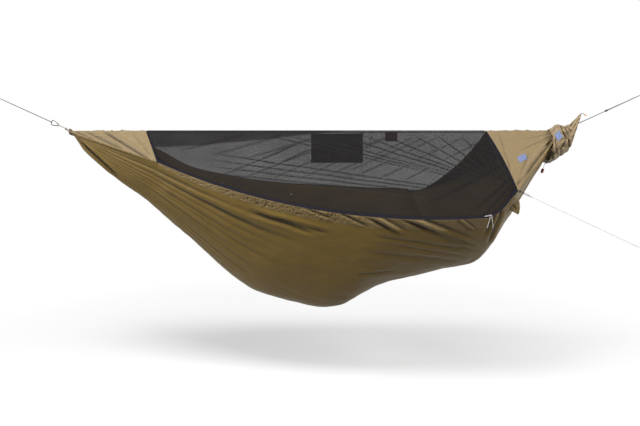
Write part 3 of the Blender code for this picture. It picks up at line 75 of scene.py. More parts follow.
TIE_OUT, TIE_APPROACH, TIE_CURVE_SHARE = (0.878, 0.944, 0.274), (0.858, 0.970, 0.340), 0.34
LEFT_SEAM, RIGHT_SEAM = 0.155, 0.8435
NEAR_SEAM_BULGE, FAR_SEAM_BULGE = (0.866, 0.50, 0.120), (0.808, 0.520, 0.230)


# Curves of the body, as in the solids


def spline(points, at):
    """A smooth curve through (station, coordinates...) rows, read at one station."""
    last = len(points) - 2
    i = 0
    while i < last and points[i + 1][0] < at:
        i += 1
    before, start = points[max(i - 1, 0)], points[i]
    end, after = points[i + 1], points[min(i + 2, last + 1)]
    span = end[0] - start[0]
    s = (at - start[0]) / span
    found = []
    for k in range(1, len(start)):
        slope_in = (end[k] - before[k]) / max(end[0] - before[0], span) * span
        slope_out = (after[k] - start[k]) / max(after[0] - start[0], span) * span
        found.append(
            (2 * s**3 - 3 * s**2 + 1) * start[k] + (s**3 - 2 * s**2 + s) * slope_in
            + (3 * s**2 - 2 * s**3) * end[k] + (s**3 - s**2) * slope_out
        )
    return found


def place(along, across, below):
    return Vector((
        ANCHOR_REACH + along * RIDGE_LENGTH, across * HALF_WIDTH, -ANCHOR_RISE - below * BODY_DEPTH,
    ))


def near_place(shares):
    along, across, below = shares
    return place(along, -across, below)


def bezier(points, share):
    points = list(points)
    while len(points) > 1:
        points = [a.lerp(b, share) for a, b in zip(points, points[1:])]
    return points[0]


class ZipArc:
    """The near rim's long stretch: one arc of a circle."""

    def __init__(self):
        start, middle, end = (near_place(s) for s in (ZIP_START, ZIP_MIDDLE, ZIP_STOP))
        a, b = middle - start, end - start
        self.axis = b.cross(a).normalized()
        across = a.cross(b)
        self.centre = start + (
            across.cross(a) * b.length_squared - across.cross(b) * a.length_squared
        ) / (2 * across.length_squared)
        self.radius = (start - self.centre).length
        self.start = start
        self.sweep = (start - self.centre).angle(end - self.centre)

    def point(self, share, inset=0.0, lift=0.0):
        spoke = (self.start - self.centre).normalized()
        spoke.rotate(Matrix.Rotation(-self.sweep * share, 3, self.axis))
        return self.centre + spoke * (self.radius - inset) + self.axis * lift

    def tangent(self, share):
        return (self.point(share) - self.centre).normalized().cross(self.axis).normalized()


ARC = ZipArc()


def gather_start(right):
    return place(1 - NECK_SHARE if right else NECK_SHARE, 0.0, 0.0)


def gather(right):
    return gather_start(right) - Vector((0, 0, NECK_DROP))


def anchor(right):
    return Vector((2 * ANCHOR_REACH + RIDGE_LENGTH if right else 0.0, 0, 0))


def suspension_way(right):
    return (anchor(right) - gather_start(right)).normalized()


def near_rim(u):
    if u <= CORNER:
        start = gather(False) - Vector((0, NECK_RADIUS, 0))
        return start.lerp(ARC.start, max(u, 0.0) / CORNER)
    if u <= ZIP_END:
        return ARC.point((u - CORNER) / (ZIP_END - CORNER))
    if u <= TIE:
        start, end = ARC.point(1.0), near_place(TIE_OUT)
        reach = (end - start).length * TIE_CURVE_SHARE
        curve = (start, start + ARC.tangent(1.0) * reach, near_place(TIE_APPROACH), end)
        return bezier(curve, (u - ZIP_END) / (TIE - ZIP_END))
    end = gather(True) - Vector((0, NECK_RADIUS, 0))
    return near_place(TIE_OUT).lerp(end, (u - TIE) / (1 - TIE))


def end_share(u):
    return float(max(0.0, 1 - min(u, 1 - u) / 0.05))


def far_rim(u):
    out = Vector((0, NECK_RADIUS, -NECK_DROP))
    return place(*spline(FAR_RIM_SHARES, u)) + end_share(u) * out


def bottom(u):
    along, below = spline(BOTTOM_SHARES, u)
    return place(along, 0.0, below) - end_share(u) * Vector((0, 0, NECK_RADIUS + NECK_DROP))


def bed_point(u, t):
    near, far, low = near_rim(u), far_rim(u), bottom(u)
    return bezier((near, 2 * low - (near + far) / 2, far), t)


def strip_width(u):
    if not CORNER <= u <= TIE:
        return 0.0
    if u <= ZIP_END:
        share = (u - CORNER) / (ZIP_END - CORNER)
        return STRIP_END_WIDTH + (STRIP_WIDTH - STRIP_END_WIDTH) * math.sqrt(share)
    share = (u - ZIP_END) / (TIE - ZIP_END)
    return STRIP_WIDTH + (STRIP_END_WIDTH - STRIP_WIDTH) * share


def strip_edge(u):
    if strip_width(u) == 0.0:
        return 0.0
    step = 0.01
    return strip_width(u) / ((bed_point(u, step) - bed_point(u, 0.0)).length / step)


def ridge_point(along, rise=ROOF_RISE):
    return place(along, 0.0, 0.0) + Vector((0, 0, rise))


def near_seam_left(share):
    return ridge_point(LEFT_SEAM).lerp(ARC.start, share)


def near_seam_right(share):
    return bezier((ridge_point(RIGHT_SEAM), near_place(NEAR_SEAM_BULGE), near_place(TIE_OUT)), share)


def far_seam_left(share):
    return ridge_point(LEFT_SEAM).lerp(far_rim(CORNER), share)


def far_seam_right(share):
    return bezier((ridge_point(RIGHT_SEAM), place(*FAR_SEAM_BULGE), far_rim(TIE)), share)


def rim_inset(u, inset):
    """A point of the near rim moved into the door's plane by inset."""
    if u <= ZIP_END:
        return ARC.point((u - CORNER) / (ZIP_END - CORNER), inset)
    step = 0.004
    ahead, behind = near_rim(min(u + step, TIE)), near_rim(u - step)
    return near_rim(u) + (ahead - behind).cross(ARC.axis).normalized() * inset


# Materials

BRAID_PITCH = 0.0048


class Signal:
    """A shader socket that adds Math nodes when it is used in an expression."""

    def __init__(self, finish, socket):
        self.finish, self.socket = finish, socket

    def math(self, operation, *values):
        return self.finish.node("ShaderNodeMath", {"operation": operation}, dict(enumerate(values)))

    def __add__(self, other):
        return self.math("ADD", self, other)

    def __sub__(self, other):
        return self.math("SUBTRACT", self, other)

    def __mul__(self, other):
        return self.math("MULTIPLY", self, other)

    def sine(self):
        return self.math("SINE", self)

    def clamped(self):
        return self.math("MINIMUM", self.math("MAXIMUM", self, 0.0), 1.0)

    def output(self, index):
        """Another output of the same node."""
        return Signal(self.finish, self.socket.node.outputs[index])

    __radd__, __rmul__ = __add__, __mul__


class Finish:
    """A material being made: its constants go on the shader, and node() adds any node."""

    def __init__(self, name, **constants):
        self.material = bpy.data.materials.new(name)
        self.material.use_nodes = True
        self.tree = self.material.node_tree
        self.shader = self.tree.nodes["Principled BSDF"]
        for socket, value in constants.items():
            self.shader.inputs[socket.replace("_", " ")].default_value = value

    def node(self, kind, settings=None, values=None, output=0):
        made = self.tree.nodes.new(kind)
        for name, value in (settings or {}).items():
            setattr(made, name, value)
        for key, value in (values or {}).items():
            socket = made.inputs[key]
            if isinstance(value, Signal):
                self.tree.links.new(value.socket, socket)
            else:
                socket.default_value = value
        return Signal(self, made.outputs[output])

    def feed(self, socket, signal):
        self.tree.links.new(signal.socket, self.shader.inputs[socket])

    def where(self, kind):
        return self.node("ShaderNodeTexCoord", output=kind)

    def attribute(self, name):
        return self.node("ShaderNodeAttribute", {"attribute_name": name}, output="Fac")

    def noise(self, scale, detail=2.0, distortion=0.0):
        values = {"Vector": self.where("Object"), "Scale": scale, "Detail": detail, "Distortion": distortion}
        return self.node("ShaderNodeTexNoise", None, values)

    def mix(self, factor, first, second):
        values = {0: factor}
        for key, colour in ((6, first), (7, second)):
            values[key] = colour if isinstance(colour, Signal) else (*colour, 1.0)
        return self.node("ShaderNodeMix", {"data_type": "RGBA"}, values, output=2)

    def surface_axes(self):
        """The two axes of the UV map, in metres or turns."""
        first = self.node("ShaderNodeSeparateXYZ", None, {0: self.where("UV")})
        return first, first.output(1)

    def threads(self, pitch):
        """A plain weave: 0 in its gaps and 1 on its crowns."""
        along, across = self.surface_axes()
        turn = 2 * math.pi / pitch
        return 0.5 + 0.25 * ((along * turn).sine() + (across * turn).sine())

    def bump(self, height, distance, strength=1.0, before=None):
        values = {"Height": height, "Distance": distance, "Strength": strength}
        if before is not None:
            values["Normal"] = before
        return self.node("ShaderNodeBump", None, values)


def woven_cloth(name, colour, shade, crinkle=0.0009, crinkle_scale=55.0):
    """Thin woven cloth: thread relief, small crinkles, a colour that varies a little, and painted shade, near
    black, in the creases that its mesh marks.
    """
    made = Finish(name, Sheen_Weight=0.10, Sheen_Roughness=0.4, Specular_IOR_Level=0.28)
    mottle = made.noise(5.0, 4.0) * 0.6 + made.noise(38.0, 3.0) * 0.4
    base = made.mix(((mottle - 0.35) * 2.2).clamped(), shade, colour)
    # Painted shade: the creases marked on the mesh are painted near black.
    painted_shade_colour = [c * 0.15 for c in shade]
    made.feed("Base Color", made.mix(made.attribute("crease_shade_and_net_doubling").clamped(), base, painted_shade_colour))
    made.feed("Roughness", 0.5 + (made.noise(24.0) - 0.5) * 0.18)
    crinkled = made.bump(made.noise(crinkle_scale, 3.0, distortion=0.6), crinkle, 0.9)
    made.feed("Normal", made.bump(made.threads(0.0012), 0.00008, 0.6, crinkled))
    return made.material


def net_cloth(name, colour, cover, creased):
    """Mosquito net: see-through, denser where it is creased or doubled."""
    made = Finish(name, Roughness=0.75, Specular_IOR_Level=0.2)
    mottle = made.noise(16.0, 3.0)
    made.feed("Base Color", made.mix(mottle, colour, [c * 1.5 for c in colour]))
    mesh = made.threads(0.0016)
    patchy = (made.noise(3.2, 2.0) - 0.5) * 0.16
    crease = made.attribute("crease_shade_and_net_doubling").clamped()
    made.feed("Alpha", (cover - 0.10 + 0.2 * mesh + patchy + crease * creased).clamped())
    return made.material


def woven_tape(name, colour, light, pitch=0.0022, rough=0.6, shine=0.35):
    """Thick tape or thread, with a coarse weave."""
    made = Finish(name, Specular_IOR_Level=shine)
    weave = made.threads(pitch)
    made.feed("Base Color", made.mix(weave * 0.7 + made.noise(90.0) * 0.3, colour, light))
    made.feed("Roughness", rough + (weave - 0.5) * 0.2)
    made.feed("Normal", made.bump(weave, 0.00025, 0.9))
    return made.material


def braided_cord(name, colour, light):
    """A braid: two sets of four strands that cross, from the tube's own length and turn."""
    made = Finish(name, Specular_IOR_Level=0.35, Sheen_Weight=0.15)
    length, turn = made.surface_axes()
    along, round_it = length * (2 * math.pi / BRAID_PITCH), turn * (8 * math.pi)
    crown = 0.5 + 0.25 * ((along + round_it).sine() + (along - round_it).sine())
    made.feed("Base Color", made.mix(crown * 0.75 + made.noise(140.0) * 0.25, colour, light))
    made.feed("Roughness", 0.65 + (made.noise(60.0) - 0.5) * 0.15)
    made.feed("Normal", made.bump(crown, 0.0004, 0.9))
    return made.material


def dark_metal(name, colour, worn):
    """Anodised metal with small scratches and paler worn edges."""
    made = Finish(name, Metallic=0.9, Specular_IOR_Level=0.5)
    scratch = made.noise(420.0, 3.0, distortion=1.5)
    edge = made.node("ShaderNodeNewGeometry", output="Pointiness")
    wear = ((edge - 0.53) * 9.0).clamped() * 0.55 + ((scratch - 0.62) * 3.0).clamped() * 0.4
    made.feed("Base Color", made.mix(wear.clamped(), colour, worn))
    made.feed("Roughness", 0.34 + (made.noise(130.0, 4.0) - 0.5) * 0.25)
    made.feed("Normal", made.bump(scratch, 0.00005, 0.5))
    return made.material


def moulded(name, colour, light, rough=0.42, shine=0.5):
    """Moulded plastic with a fine grain."""
    made = Finish(name, Specular_IOR_Level=shine)
    made.feed("Base Color", made.mix((made.noise(70.0, 3.0) - 0.2).clamped(), colour, light))
    made.feed("Roughness", rough + (made.noise(260.0) - 0.5) * 0.2)
    made.feed("Normal", made.bump(made.noise(900.0, 2.0), 0.00004, 0.6))
    return made.material


FINISHES = {
    "cloth": woven_cloth("bed_cloth", (0.176, 0.112, 0.023), (0.146, 0.092, 0.017)),
    "light_cloth": woven_cloth("panel_cloth", (0.238, 0.174, 0.090), (0.206, 0.150, 0.075)),
    "strip_cloth": woven_cloth(
        "strip_cloth", (0.242, 0.170, 0.070), (0.166, 0.111, 0.039), crinkle=0.0040, crinkle_scale=130.0
    ),
    # The stow bag's cloth: the panels' cloth painted lighter, a painted light against the shade the bag hangs
    # in.
    "painted_light_sleeve_cloth": woven_cloth(
        "painted_light_sleeve_cloth", (0.330, 0.245, 0.138), (0.262, 0.190, 0.100), crinkle=0.0022, crinkle_scale=90.0
    ),
    "net": net_cloth("mosquito_net", (0.009, 0.008, 0.008), 0.46, 0.38),
    "tape": woven_tape("zip_tape", (0.005, 0.005, 0.009), (0.016, 0.017, 0.028), rough=0.8, shine=0.12),
    "coil": moulded("zip_coil", (0.008, 0.008, 0.014), (0.020, 0.022, 0.040), 0.5, 0.2),
    "webbing": woven_tape("dark_webbing", (0.014, 0.013, 0.014), (0.045, 0.043, 0.046), 0.0026),
    "dark_cloth": woven_cloth("organiser_cloth", (0.022, 0.022, 0.026), (0.014, 0.014, 0.017)),
    "grey_cord": braided_cord("sling_cord", (0.040, 0.042, 0.055), (0.095, 0.098, 0.125)),
    "dark_cord": braided_cord("dark_cord", (0.012, 0.012, 0.014), (0.05, 0.05, 0.055)),
    "white_cord": braided_cord("white_cord", (0.46, 0.46, 0.45), (0.62, 0.62, 0.61)),
    "metal": dark_metal("dark_metal", (0.022, 0.022, 0.025), (0.30, 0.30, 0.32)),
    "plastic": moulded("black_plastic", (0.012, 0.012, 0.013), (0.03, 0.03, 0.032)),
    "maroon": woven_cloth("tag_cloth", (0.11, 0.035, 0.045), (0.07, 0.02, 0.028)),
    "red": moulded("red_plastic", (0.16, 0.012, 0.015), (0.26, 0.03, 0.03)),
    "orange": moulded("orange_plastic", (0.62, 0.16, 0.02), (0.75, 0.26, 0.06)),
    "patch": woven_tape("blue_patch", (0.10, 0.135, 0.27), (0.20, 0.245, 0.40), 0.0016, 0.5),
    "pale": moulded("pale_plastic", (0.62, 0.62, 0.60), (0.78, 0.78, 0.76)),
    "whipping": braided_cord("whipping_cord", (0.10, 0.075, 0.040), (0.22, 0.165, 0.090)),
    "thread": woven_tape("brown_thread", (0.20, 0.15, 0.075), (0.34, 0.27, 0.16), 0.001),
    "dark_thread": woven_tape("dark_thread", (0.02, 0.019, 0.02), (0.06, 0.058, 0.06), 0.001),
}


# Making meshes


def linked(name, data):
    """A new object in the scene."""
    made = bpy.data.objects.new(name, data)
    bpy.context.scene.collection.objects.link(made)
    return made


def mesh_from(name, shape):
    """A mesh with a bmesh's content. The bmesh is freed."""
    data = bpy.data.meshes.new(name)
    shape.to_mesh(data)
    shape.free()
    return data


def dress(made, body, finish, slot, *nodes):
    """Gives a piece its finish and its body, and hides the CAD nodes that it stands for. Its slot is not
    used.
    """
    made.data.materials.clear()
    made.data.materials.append(FINISHES[finish])
    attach(made, body)
    if nodes:
        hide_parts(*nodes)
    return made


def smooth(made):
    made.data.polygons.foreach_set("use_smooth", [True] * len(made.data.polygons))
    return made


def normals_of(grid):
    """The unit normals of a grid of points, by differences along its rows and columns."""
    down, over = np.gradient(grid, axis=0), np.gradient(grid, axis=1)
    found = np.cross(over, down)
    return found / np.maximum(np.linalg.norm(found, axis=2, keepdims=True), 1e-12)


def front_normals(grid):
    """The unit normals of a grid, all turned to the front."""
    normals = normals_of(grid)
    normals[normals[..., 1] > 0] *= -1
    return normals


def fine_noise(grid, scale, seed=0.0, octaves=2):
    """Smooth noise from -1 to 1 at each point of a grid."""
    flat = grid.reshape(-1, 3) * scale + seed
    return np.array([noise.fractal(Vector(p), 1.0, 2.0, octaves) for p in flat]).reshape(grid.shape[:2])


def cloth(name, grid, thickness, closed=False, crease_shade_and_net_doubling=None):
    """A sheet of even thickness over a grid of points, with a UV map in metres."""
    rows, columns = grid.shape[:2]
    points = grid.reshape(-1, 3)
    if closed:
        grid = np.concatenate([grid, grid[:, :1]], axis=1)
    steps = np.linalg.norm(np.diff(grid, axis=1), axis=2)
    across = np.concatenate([np.zeros((rows, 1)), np.cumsum(steps, axis=1)], axis=1)
    middle = grid[:, grid.shape[1] // 2]
    down = np.concatenate([[0.0], np.cumsum(np.linalg.norm(np.diff(middle, axis=0), axis=1))])
    i, k = np.meshgrid(np.arange(rows - 1), np.arange(grid.shape[1] - 1), indexing="ij")
    i, k = i.ravel(), k.ravel()
    after = (k + 1) % columns
    first, second = i * columns, (i + 1) * columns
    faces = np.stack([first + k, first + after, second + after, second + k], 1)
    data = bpy.data.meshes.new(name)
    data.from_pydata(points.tolist(), [], faces.tolist())
    corner_i, corner_k = np.stack([i, i, i + 1, i + 1], 1), np.stack([k, k + 1, k + 1, k], 1)
    uv = np.stack([across[corner_i, corner_k], down[corner_i]], 2)
    data.uv_layers.new(name="UVMap").data.foreach_set("uv", uv.astype(np.float32).ravel())
    # A point attribute: painted crease shade for the cloth finishes, and the net's doubling for the net
    # finish.
    values = np.zeros(rows * columns) if crease_shade_and_net_doubling is None else np.asarray(crease_shade_and_net_doubling).ravel()
    shade = data.attributes.new("crease_shade_and_net_doubling", "FLOAT", "POINT")
    shade.data.foreach_set("value", values.astype(np.float32))
    made = smooth(linked(name, data))
    wall = made.modifiers.new("Wall", "SOLIDIFY")
    wall.thickness, wall.offset = thickness, 0.0
    return made


def area_of(grid):
    """The area of a grid's surface."""
    a = np.cross(grid[:-1, 1:] - grid[:-1, :-1], grid[1:, :-1] - grid[:-1, :-1])
    b = np.cross(grid[1:, :-1] - grid[1:, 1:], grid[:-1, 1:] - grid[1:, 1:])
    return float((np.linalg.norm(a, axis=2).sum() + np.linalg.norm(b, axis=2).sum()) / 2)


def declared(grid):
    """Works out a sheet's longest row and column and its area, all with a little slack, and keeps none of
    them.
    """
    slack = 1.02
    width = float(np.linalg.norm(np.diff(grid, axis=1), axis=2).sum(1).max()) * slack
    length = float(np.linalg.norm(np.diff(grid, axis=0), axis=2).sum(0).max()) * slack
    area = min(area_of(grid) * slack, 0.99 * width * length)
    width = min(width, area / (0.35 * length))


def as_points(points):
    return np.array([tuple(p) for p in points], float)


def between(start, end, steps):
    return [start.lerp(end, i / steps) for i in range(steps + 1)]


def half_turn(steps=12):
    return [math.pi * i / steps for i in range(steps + 1)]


def mirrored(points):
    """Points on the other side of the middle plane, in the opposite order."""
    return [Vector((p.x, -p.y, p.z)) for p in reversed(points)]


def axes_of(heading):
    """The directions across and above a heading."""
    across = heading.cross(Vector((0, 0, 1))).normalized()
    return across, across.cross(heading).normalized()


def frames_along(tangents, closed):
    """Two directions across a line at each of its points, turned so that they join at a closed end."""
    side = Vector(tangents[0]).orthogonal().normalized()
    frames = []
    for tangent in map(Vector, tangents):
        side = (side - tangent * side.dot(tangent)).normalized()
        frames.append((side.copy(), tangent.cross(side)))
    if not closed:
        return frames, 0.0
    first, start = Vector(tangents[0]), frames[0][0]
    last = (side - first * side.dot(first)).normalized()
    return frames, math.atan2(start.cross(last).dot(first), start.dot(last))


def tube(name, points, radius, sides=8, closed=False):
    """A round cord through its points, with its length and its turn as its UV map."""
    line = as_points(points)
    count = len(line)
    radii = np.broadcast_to(np.asarray(radius, float), (count,))
    ahead = np.roll(line, -1, 0) if closed else np.concatenate([line[1:], line[-1:] * 2 - line[-2:-1]])
    behind = np.roll(line, 1, 0) if closed else np.concatenate([line[:1] * 2 - line[1:2], line[:-1]])
    tangents = ahead - behind
    tangents /= np.linalg.norm(tangents, axis=1, keepdims=True)
    frames, twist = frames_along(tangents, closed)
    shape = bmesh.new()
    rings = []
    for i, (one, two) in enumerate(frames):
        rings.append([])
        for k in range(sides):
            a = 2 * math.pi * k / sides - twist * i / count
            offset = (one * math.cos(a) + two * math.sin(a)) * radii[i]
            rings[-1].append(shape.verts.new(Vector(line[i]) + offset))
    layer = shape.loops.layers.uv.new("UVMap")
    lengths = np.concatenate([[0.0], np.cumsum(np.linalg.norm(ahead - line, axis=1))])
    for i in range(count if closed else count - 1):
        ring, after = rings[i], rings[(i + 1) % count]
        for k in range(sides):
            n = (k + 1) % sides
            face = shape.faces.new((ring[k], ring[n], after[n], after[k]))
            face.smooth = True
            for loop, (row, turn) in zip(face.loops, ((i, k), (i, k + 1), (i + 1, k + 1), (i + 1, k))):
                loop[layer].uv = (lengths[row], turn / sides)
    if not closed:
        shape.faces.new(rings[0][::-1])
        shape.faces.new(rings[-1])
    bmesh.ops.recalc_face_normals(shape, faces=shape.faces[:])
    return linked(name, mesh_from(name, shape))


def joined(name, parts):
    """Several mesh objects as one."""
    shape = bmesh.new()
    for part in parts:
        shape.from_mesh(part.data)
        bpy.data.objects.remove(part, do_unlink=True)
    return smooth(linked(name, mesh_from(name, shape)))


def smooth_line(points, steps):
    rows = [(i, *point) for i, point in enumerate(points)]
    count = len(points) - 1
    return [Vector(spline(rows, count * i / steps)) for i in range(steps + 1)]


def ring_points(centre, normal, radius, count):
    normal = Vector(normal).normalized()
    first = normal.orthogonal().normalized()
    second = normal.cross(first)
    turns = [2 * math.pi * i / count for i in range(count)]
    return [centre + first * radius * math.cos(a) + second * radius * math.sin(a) for a in turns]


def evenly(points, spacing):
    """Places at even steps along a line of points, each with its direction."""
    line = as_points(points)
    reach = np.concatenate([[0.0], np.cumsum(np.linalg.norm(np.diff(line, axis=0), axis=1))])
    count = max(int(reach[-1] / spacing), 1)
    at = (np.arange(count) + 0.5) * reach[-1] / count

    def read(places):
        return np.stack([np.interp(places, reach, line[:, k]) for k in range(3)], 1)

    ways = read(at + spacing * 0.3) - read(at - spacing * 0.3)
    return read(at), ways / np.maximum(np.linalg.norm(ways, axis=1, keepdims=True), 1e-9)


def repeat_tree(finish):
    """A node tree that puts one rounded bead at every vertex, turned to the vertex's own axes."""
    tree = bpy.data.node_groups.new("repeated_bead", "GeometryNodeTree")
    side = tree.interface
    side.new_socket("Geometry", in_out="INPUT", socket_type="NodeSocketGeometry")
    for label in ("Length", "Width", "Height"):
        side.new_socket(label, in_out="INPUT", socket_type="NodeSocketFloat")
    side.new_socket("Segments", in_out="INPUT", socket_type="NodeSocketInt")
    side.new_socket("Geometry", in_out="OUTPUT", socket_type="NodeSocketGeometry")

    def node(kind, settings=None, values=None):
        made = tree.nodes.new(kind)
        for key, value in (settings or {}).items():
            setattr(made, key, value)
        for key, value in (values or {}).items():
            if isinstance(value, bpy.types.NodeSocket):
                tree.links.new(value, made.inputs[key])
            else:
                made.inputs[key].default_value = value
        return made.outputs

    given = node("NodeGroupInput")
    scale = node("ShaderNodeCombineXYZ", None, {0: given["Length"], 1: given["Width"], 2: given["Height"]})
    bead = node("GeometryNodeMeshUVSphere", None, {"Segments": given["Segments"], "Rings": 4, "Radius": 0.5})
    bead = node("GeometryNodeTransform", None, {"Geometry": bead[0], "Scale": scale[0]})
    bead = node("GeometryNodeSetShadeSmooth", None, {"Geometry": bead[0], "Shade Smooth": True})
    before = {}
    for axis, pivot, label in (("X", "AUTO", "along"), ("Y", "X", "across")):
        spot = node("GeometryNodeInputNamedAttribute", {"data_type": "FLOAT_VECTOR"}, {"Name": label})
        settings, values = {"axis": axis, "pivot_axis": pivot}, {"Vector": spot[0], **before}
        before = {"Rotation": node("FunctionNodeAlignRotationToVector", settings, values)[0]}
    values = {"Points": given["Geometry"], "Instance": bead[0], **before}
    spread = node("GeometryNodeInstanceOnPoints", None, values)
    real = node("GeometryNodeRealizeInstances", None, {"Geometry": spread[0]})
    coated = node("GeometryNodeSetMaterial", None, {"Geometry": real[0], "Material": FINISHES[finish]})
    node("NodeGroupOutput", None, {"Geometry": coated[0]})
    return tree


def repeated(name, spots, size, body, finish, segments=6):
    """Many small beads, such as stitches or teeth, as one mesh on one body.

    Each spot is a place, a direction along the bead and one across it."""
    data = bpy.data.meshes.new(name)
    data.from_pydata([tuple(p) for p, _, _ in spots], [], [])
    for k, label in ((1, "along"), (2, "across")):
        values = np.array([tuple(spot[k]) for spot in spots], np.float32)
        data.attributes.new(label, "FLOAT_VECTOR", "POINT").data.foreach_set("vector", values.ravel())
    made = linked(name, data)
    tree = repeat_tree(finish)
    row = made.modifiers.new("Row", "NODES")
    row.node_group = tree
    sockets = {item.name: item.identifier for item in tree.interface.items_tree if item.in_out == "INPUT"}
    for label, value in zip(("Length", "Width", "Height", "Segments"), (*size, segments)):
        row[sockets[label]] = value
    bpy.context.view_layer.update()
    graph = bpy.context.evaluated_depsgraph_get()
    result = bpy.data.meshes.new_from_object(made.evaluated_get(graph))
    made.modifiers.clear()
    made.data = result
    smooth(made)
    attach(made, body)
    return made


def stitched(lines, spacing, lift=0.0):
    """Spots for stitches along several lines of (point, outward direction) pairs."""
    spots = []
    for line in lines:
        points = [p + n * lift for p, n in line]
        found, ways = evenly(points, spacing)
        share = np.linspace(0, 1, len(found))
        outs = as_points([n for _, n in line])
        at = np.linspace(0, 1, len(outs))
        out = np.stack([np.interp(share, at, outs[:, k]) for k in range(3)], 1)
        across = np.cross(ways, out)
        spots += list(zip(found, ways, across))
    return spots


# Camera, floor and light


def camera():
    lens = bpy.data.cameras.new("camera")
    lens.lens, lens.sensor_width, lens.clip_end = 50.0, 36.0, 100.0
    made = linked("camera", lens)
    made.location = VIEW_EYE
    made.rotation_euler = (math.pi / 2 - VIEW_TILT, 0, 0)
    bpy.context.scene.camera = made
    bpy.context.scene.view_settings.view_transform = "Standard"


def pale_floor():
    """The floor's finish: pale, and white to the eye away from the shadow under the part."""
    pale = Finish("floor", Roughness=0.9, Base_Color=(0.86, 0.86, 0.86, 1.0))
    dim = pale.node("ShaderNodeBsdfDiffuse", None, {"Color": (0.16, 0.16, 0.16, 1.0)})
    white = pale.node("ShaderNodeEmission", None, {"Color": (1.0, 1.0, 1.0, 1.0), "Strength": 1.0})
    away = pale.node("ShaderNodeVectorMath", {"operation": "LENGTH"}, {0: pale.where("Object")}, "Value")
    shown, glossy, through = (
        pale.node("ShaderNodeLightPath", output=f"Is {ray} Ray")
        for ray in ("Camera", "Glossy", "Transmission")
    )

    def mixed(factor, first, second):
        return pale.node("ShaderNodeMixShader", None, {0: factor, 1: first, 2: second})

    lit = Signal(pale, pale.shader.outputs[0])
    whitened = mixed(0.38 + 0.62 * ((away - 0.9) * 0.6).clamped(), lit, white)
    looks = mixed((shown + glossy + through).clamped(), dim, whitened)
    pale.tree.links.new(looks.socket, pale.tree.nodes["Material Output"].inputs[0])
    return pale.material


def floor():
    shape = bmesh.new()
    bmesh.ops.create_circle(shape, cap_ends=True, segments=64, radius=14.0)
    made = linked("floor", mesh_from("floor", shape))
    made.location = (1.85, 0.0, -1.62)
    made.data.materials.append(pale_floor())


def sky():
    """Dim light from all round, and white where the camera looks past the floor."""
    world = bpy.data.worlds.new("world")
    bpy.context.scene.world = world
    world.use_nodes = True
    tree = world.node_tree
    dim, white = tree.nodes["Background"], tree.nodes.new("ShaderNodeBackground")
    for background, strength in ((dim, 0.20), (white, 1.0)):
        background.inputs["Color"].default_value = (1.0, 1.0, 1.0, 1.0)
        background.inputs["Strength"].default_value = strength
    path, most, mix = (
        tree.nodes.new(kind) for kind in ("ShaderNodeLightPath", "ShaderNodeMath", "ShaderNodeMixShader")
    )
    most.operation = "MAXIMUM"
    for source, goal in (
        (path.outputs["Is Camera Ray"], most.inputs[0]),
        (path.outputs["Is Transmission Ray"], most.inputs[1]),
        (most.outputs[0], mix.inputs[0]), (dim.outputs[0], mix.inputs[1]), (white.outputs[0], mix.inputs[2]),
        (mix.outputs[0], tree.nodes["World Output"].inputs[0]),
    ):
        tree.links.new(source, goal)


def lamps():
    aim = Vector((1.85, 0.0, -0.6))
    for name, where, power, size in (
        ("key_light", (0.9, -2.2, 3.4), 215.0, 1.6),
        ("left_light", (-2.4, -2.6, 0.7), 132.0, 1.8),
        ("right_light", (5.4, -1.8, 1.4), 105.0, 1.6),
        ("back_light", (2.2, 3.4, 2.8), 40.0, 2.4),
    ):
        light = bpy.data.lights.new(name, "AREA")
        light.energy, light.size = power, size
        lamp = linked(name, light)
        lamp.location = where
        lamp.rotation_euler = (aim - Vector(where)).to_track_quat("-Z", "Y").to_euler()


camera()
floor()
sky()
lamps()


# Cords

# Sizes of the hanging gear in metres, with cords and wires by their radius
TOUCH, HOOK_WIRE, HOOK_REACH = 0.0003, 0.0022, 0.042
NECK_CLOTH, WRAP_CORD, WRAP_PITCH, WRAP_TURNS = 0.0013, 0.0015, 0.0036, 4
LOOP_CORD, SLING_CORD, BEAD_HALF = 0.0014, 0.0015, 0.018
TAIL_EYE, TAIL_EYE_CORD = 0.011, 0.0022
RIDGE_CORD, RIDGE_EYE_AT, RIDGE_EYE, RIDGE_EYE_CORD = 0.0022, 0.048, 0.0057, 0.0013

# The tie-outs' headings, tabs and rings, and the cords beyond the near one
NEAR_HEADING = Vector((0.755, -0.56, -0.335)).normalized()
FAR_HEADING = Vector((-0.2, 0.9, -0.39)).normalized()
TAB_START, TAB_EYELET, TIE_RING, TIE_RING_WIRE = 0.0009, 0.0132, 0.009, 0.0015
ELASTIC, ELASTIC_REACH = 0.0014, 0.034
GUY_CORD, GUY_EYE, GUY_LENGTH, PEG_LOOP = 0.0012, 0.0052, 0.70, 0.014
KNOT_CORD, EYE_KNOT, PEG_KNOT = 0.0007, 0.010, 0.012

# The zip's pull tab: its middle across, its rise off the zip, its sizes (hole and halves), and its lean
TAB_MIDDLE, TAB_RISE, TAB_LENGTH, TAB_LEAN = -0.0022, 0.00485, 0.034, math.radians(14)
TAB_HOLE, TAB_HALF_THICK, TAB_HALF_WIDE = 0.0019, 0.0012, 0.0031
# The cord through it, and how far that hangs
PULL_CORD, PULL_REACH = 0.0011, 0.066

# What hangs from the ridge line
ORGANISER_CLOTH, EYELET_DROP, POCKET_HIGH, POCKET_DEEP = 0.0010, 0.0097, 0.105, 0.016
ORGANISER_CORD, STITCH = 0.001, (0.0024, 0.0006, 0.0005)
ORGANISER, ORGANISER_WIDE, ORGANISER_HIGH = place(0.5418, 0.0, 0.0), 0.285, 0.163
ORGANISER_TOP = ORGANISER.z - 0.0055
ORGANISER_LOW = ORGANISER_TOP - ORGANISER_HIGH
LAMP_CORD_AT, LAMP_CORD, LAMP_DROP, LAMP_SWAY, LAMP_CURL = 0.6090, 0.0011, 0.098, 0.007, 0.009
TAG_AT, TAG_HALF, TAG_HIGH = 0.6516, 0.0335, 0.050


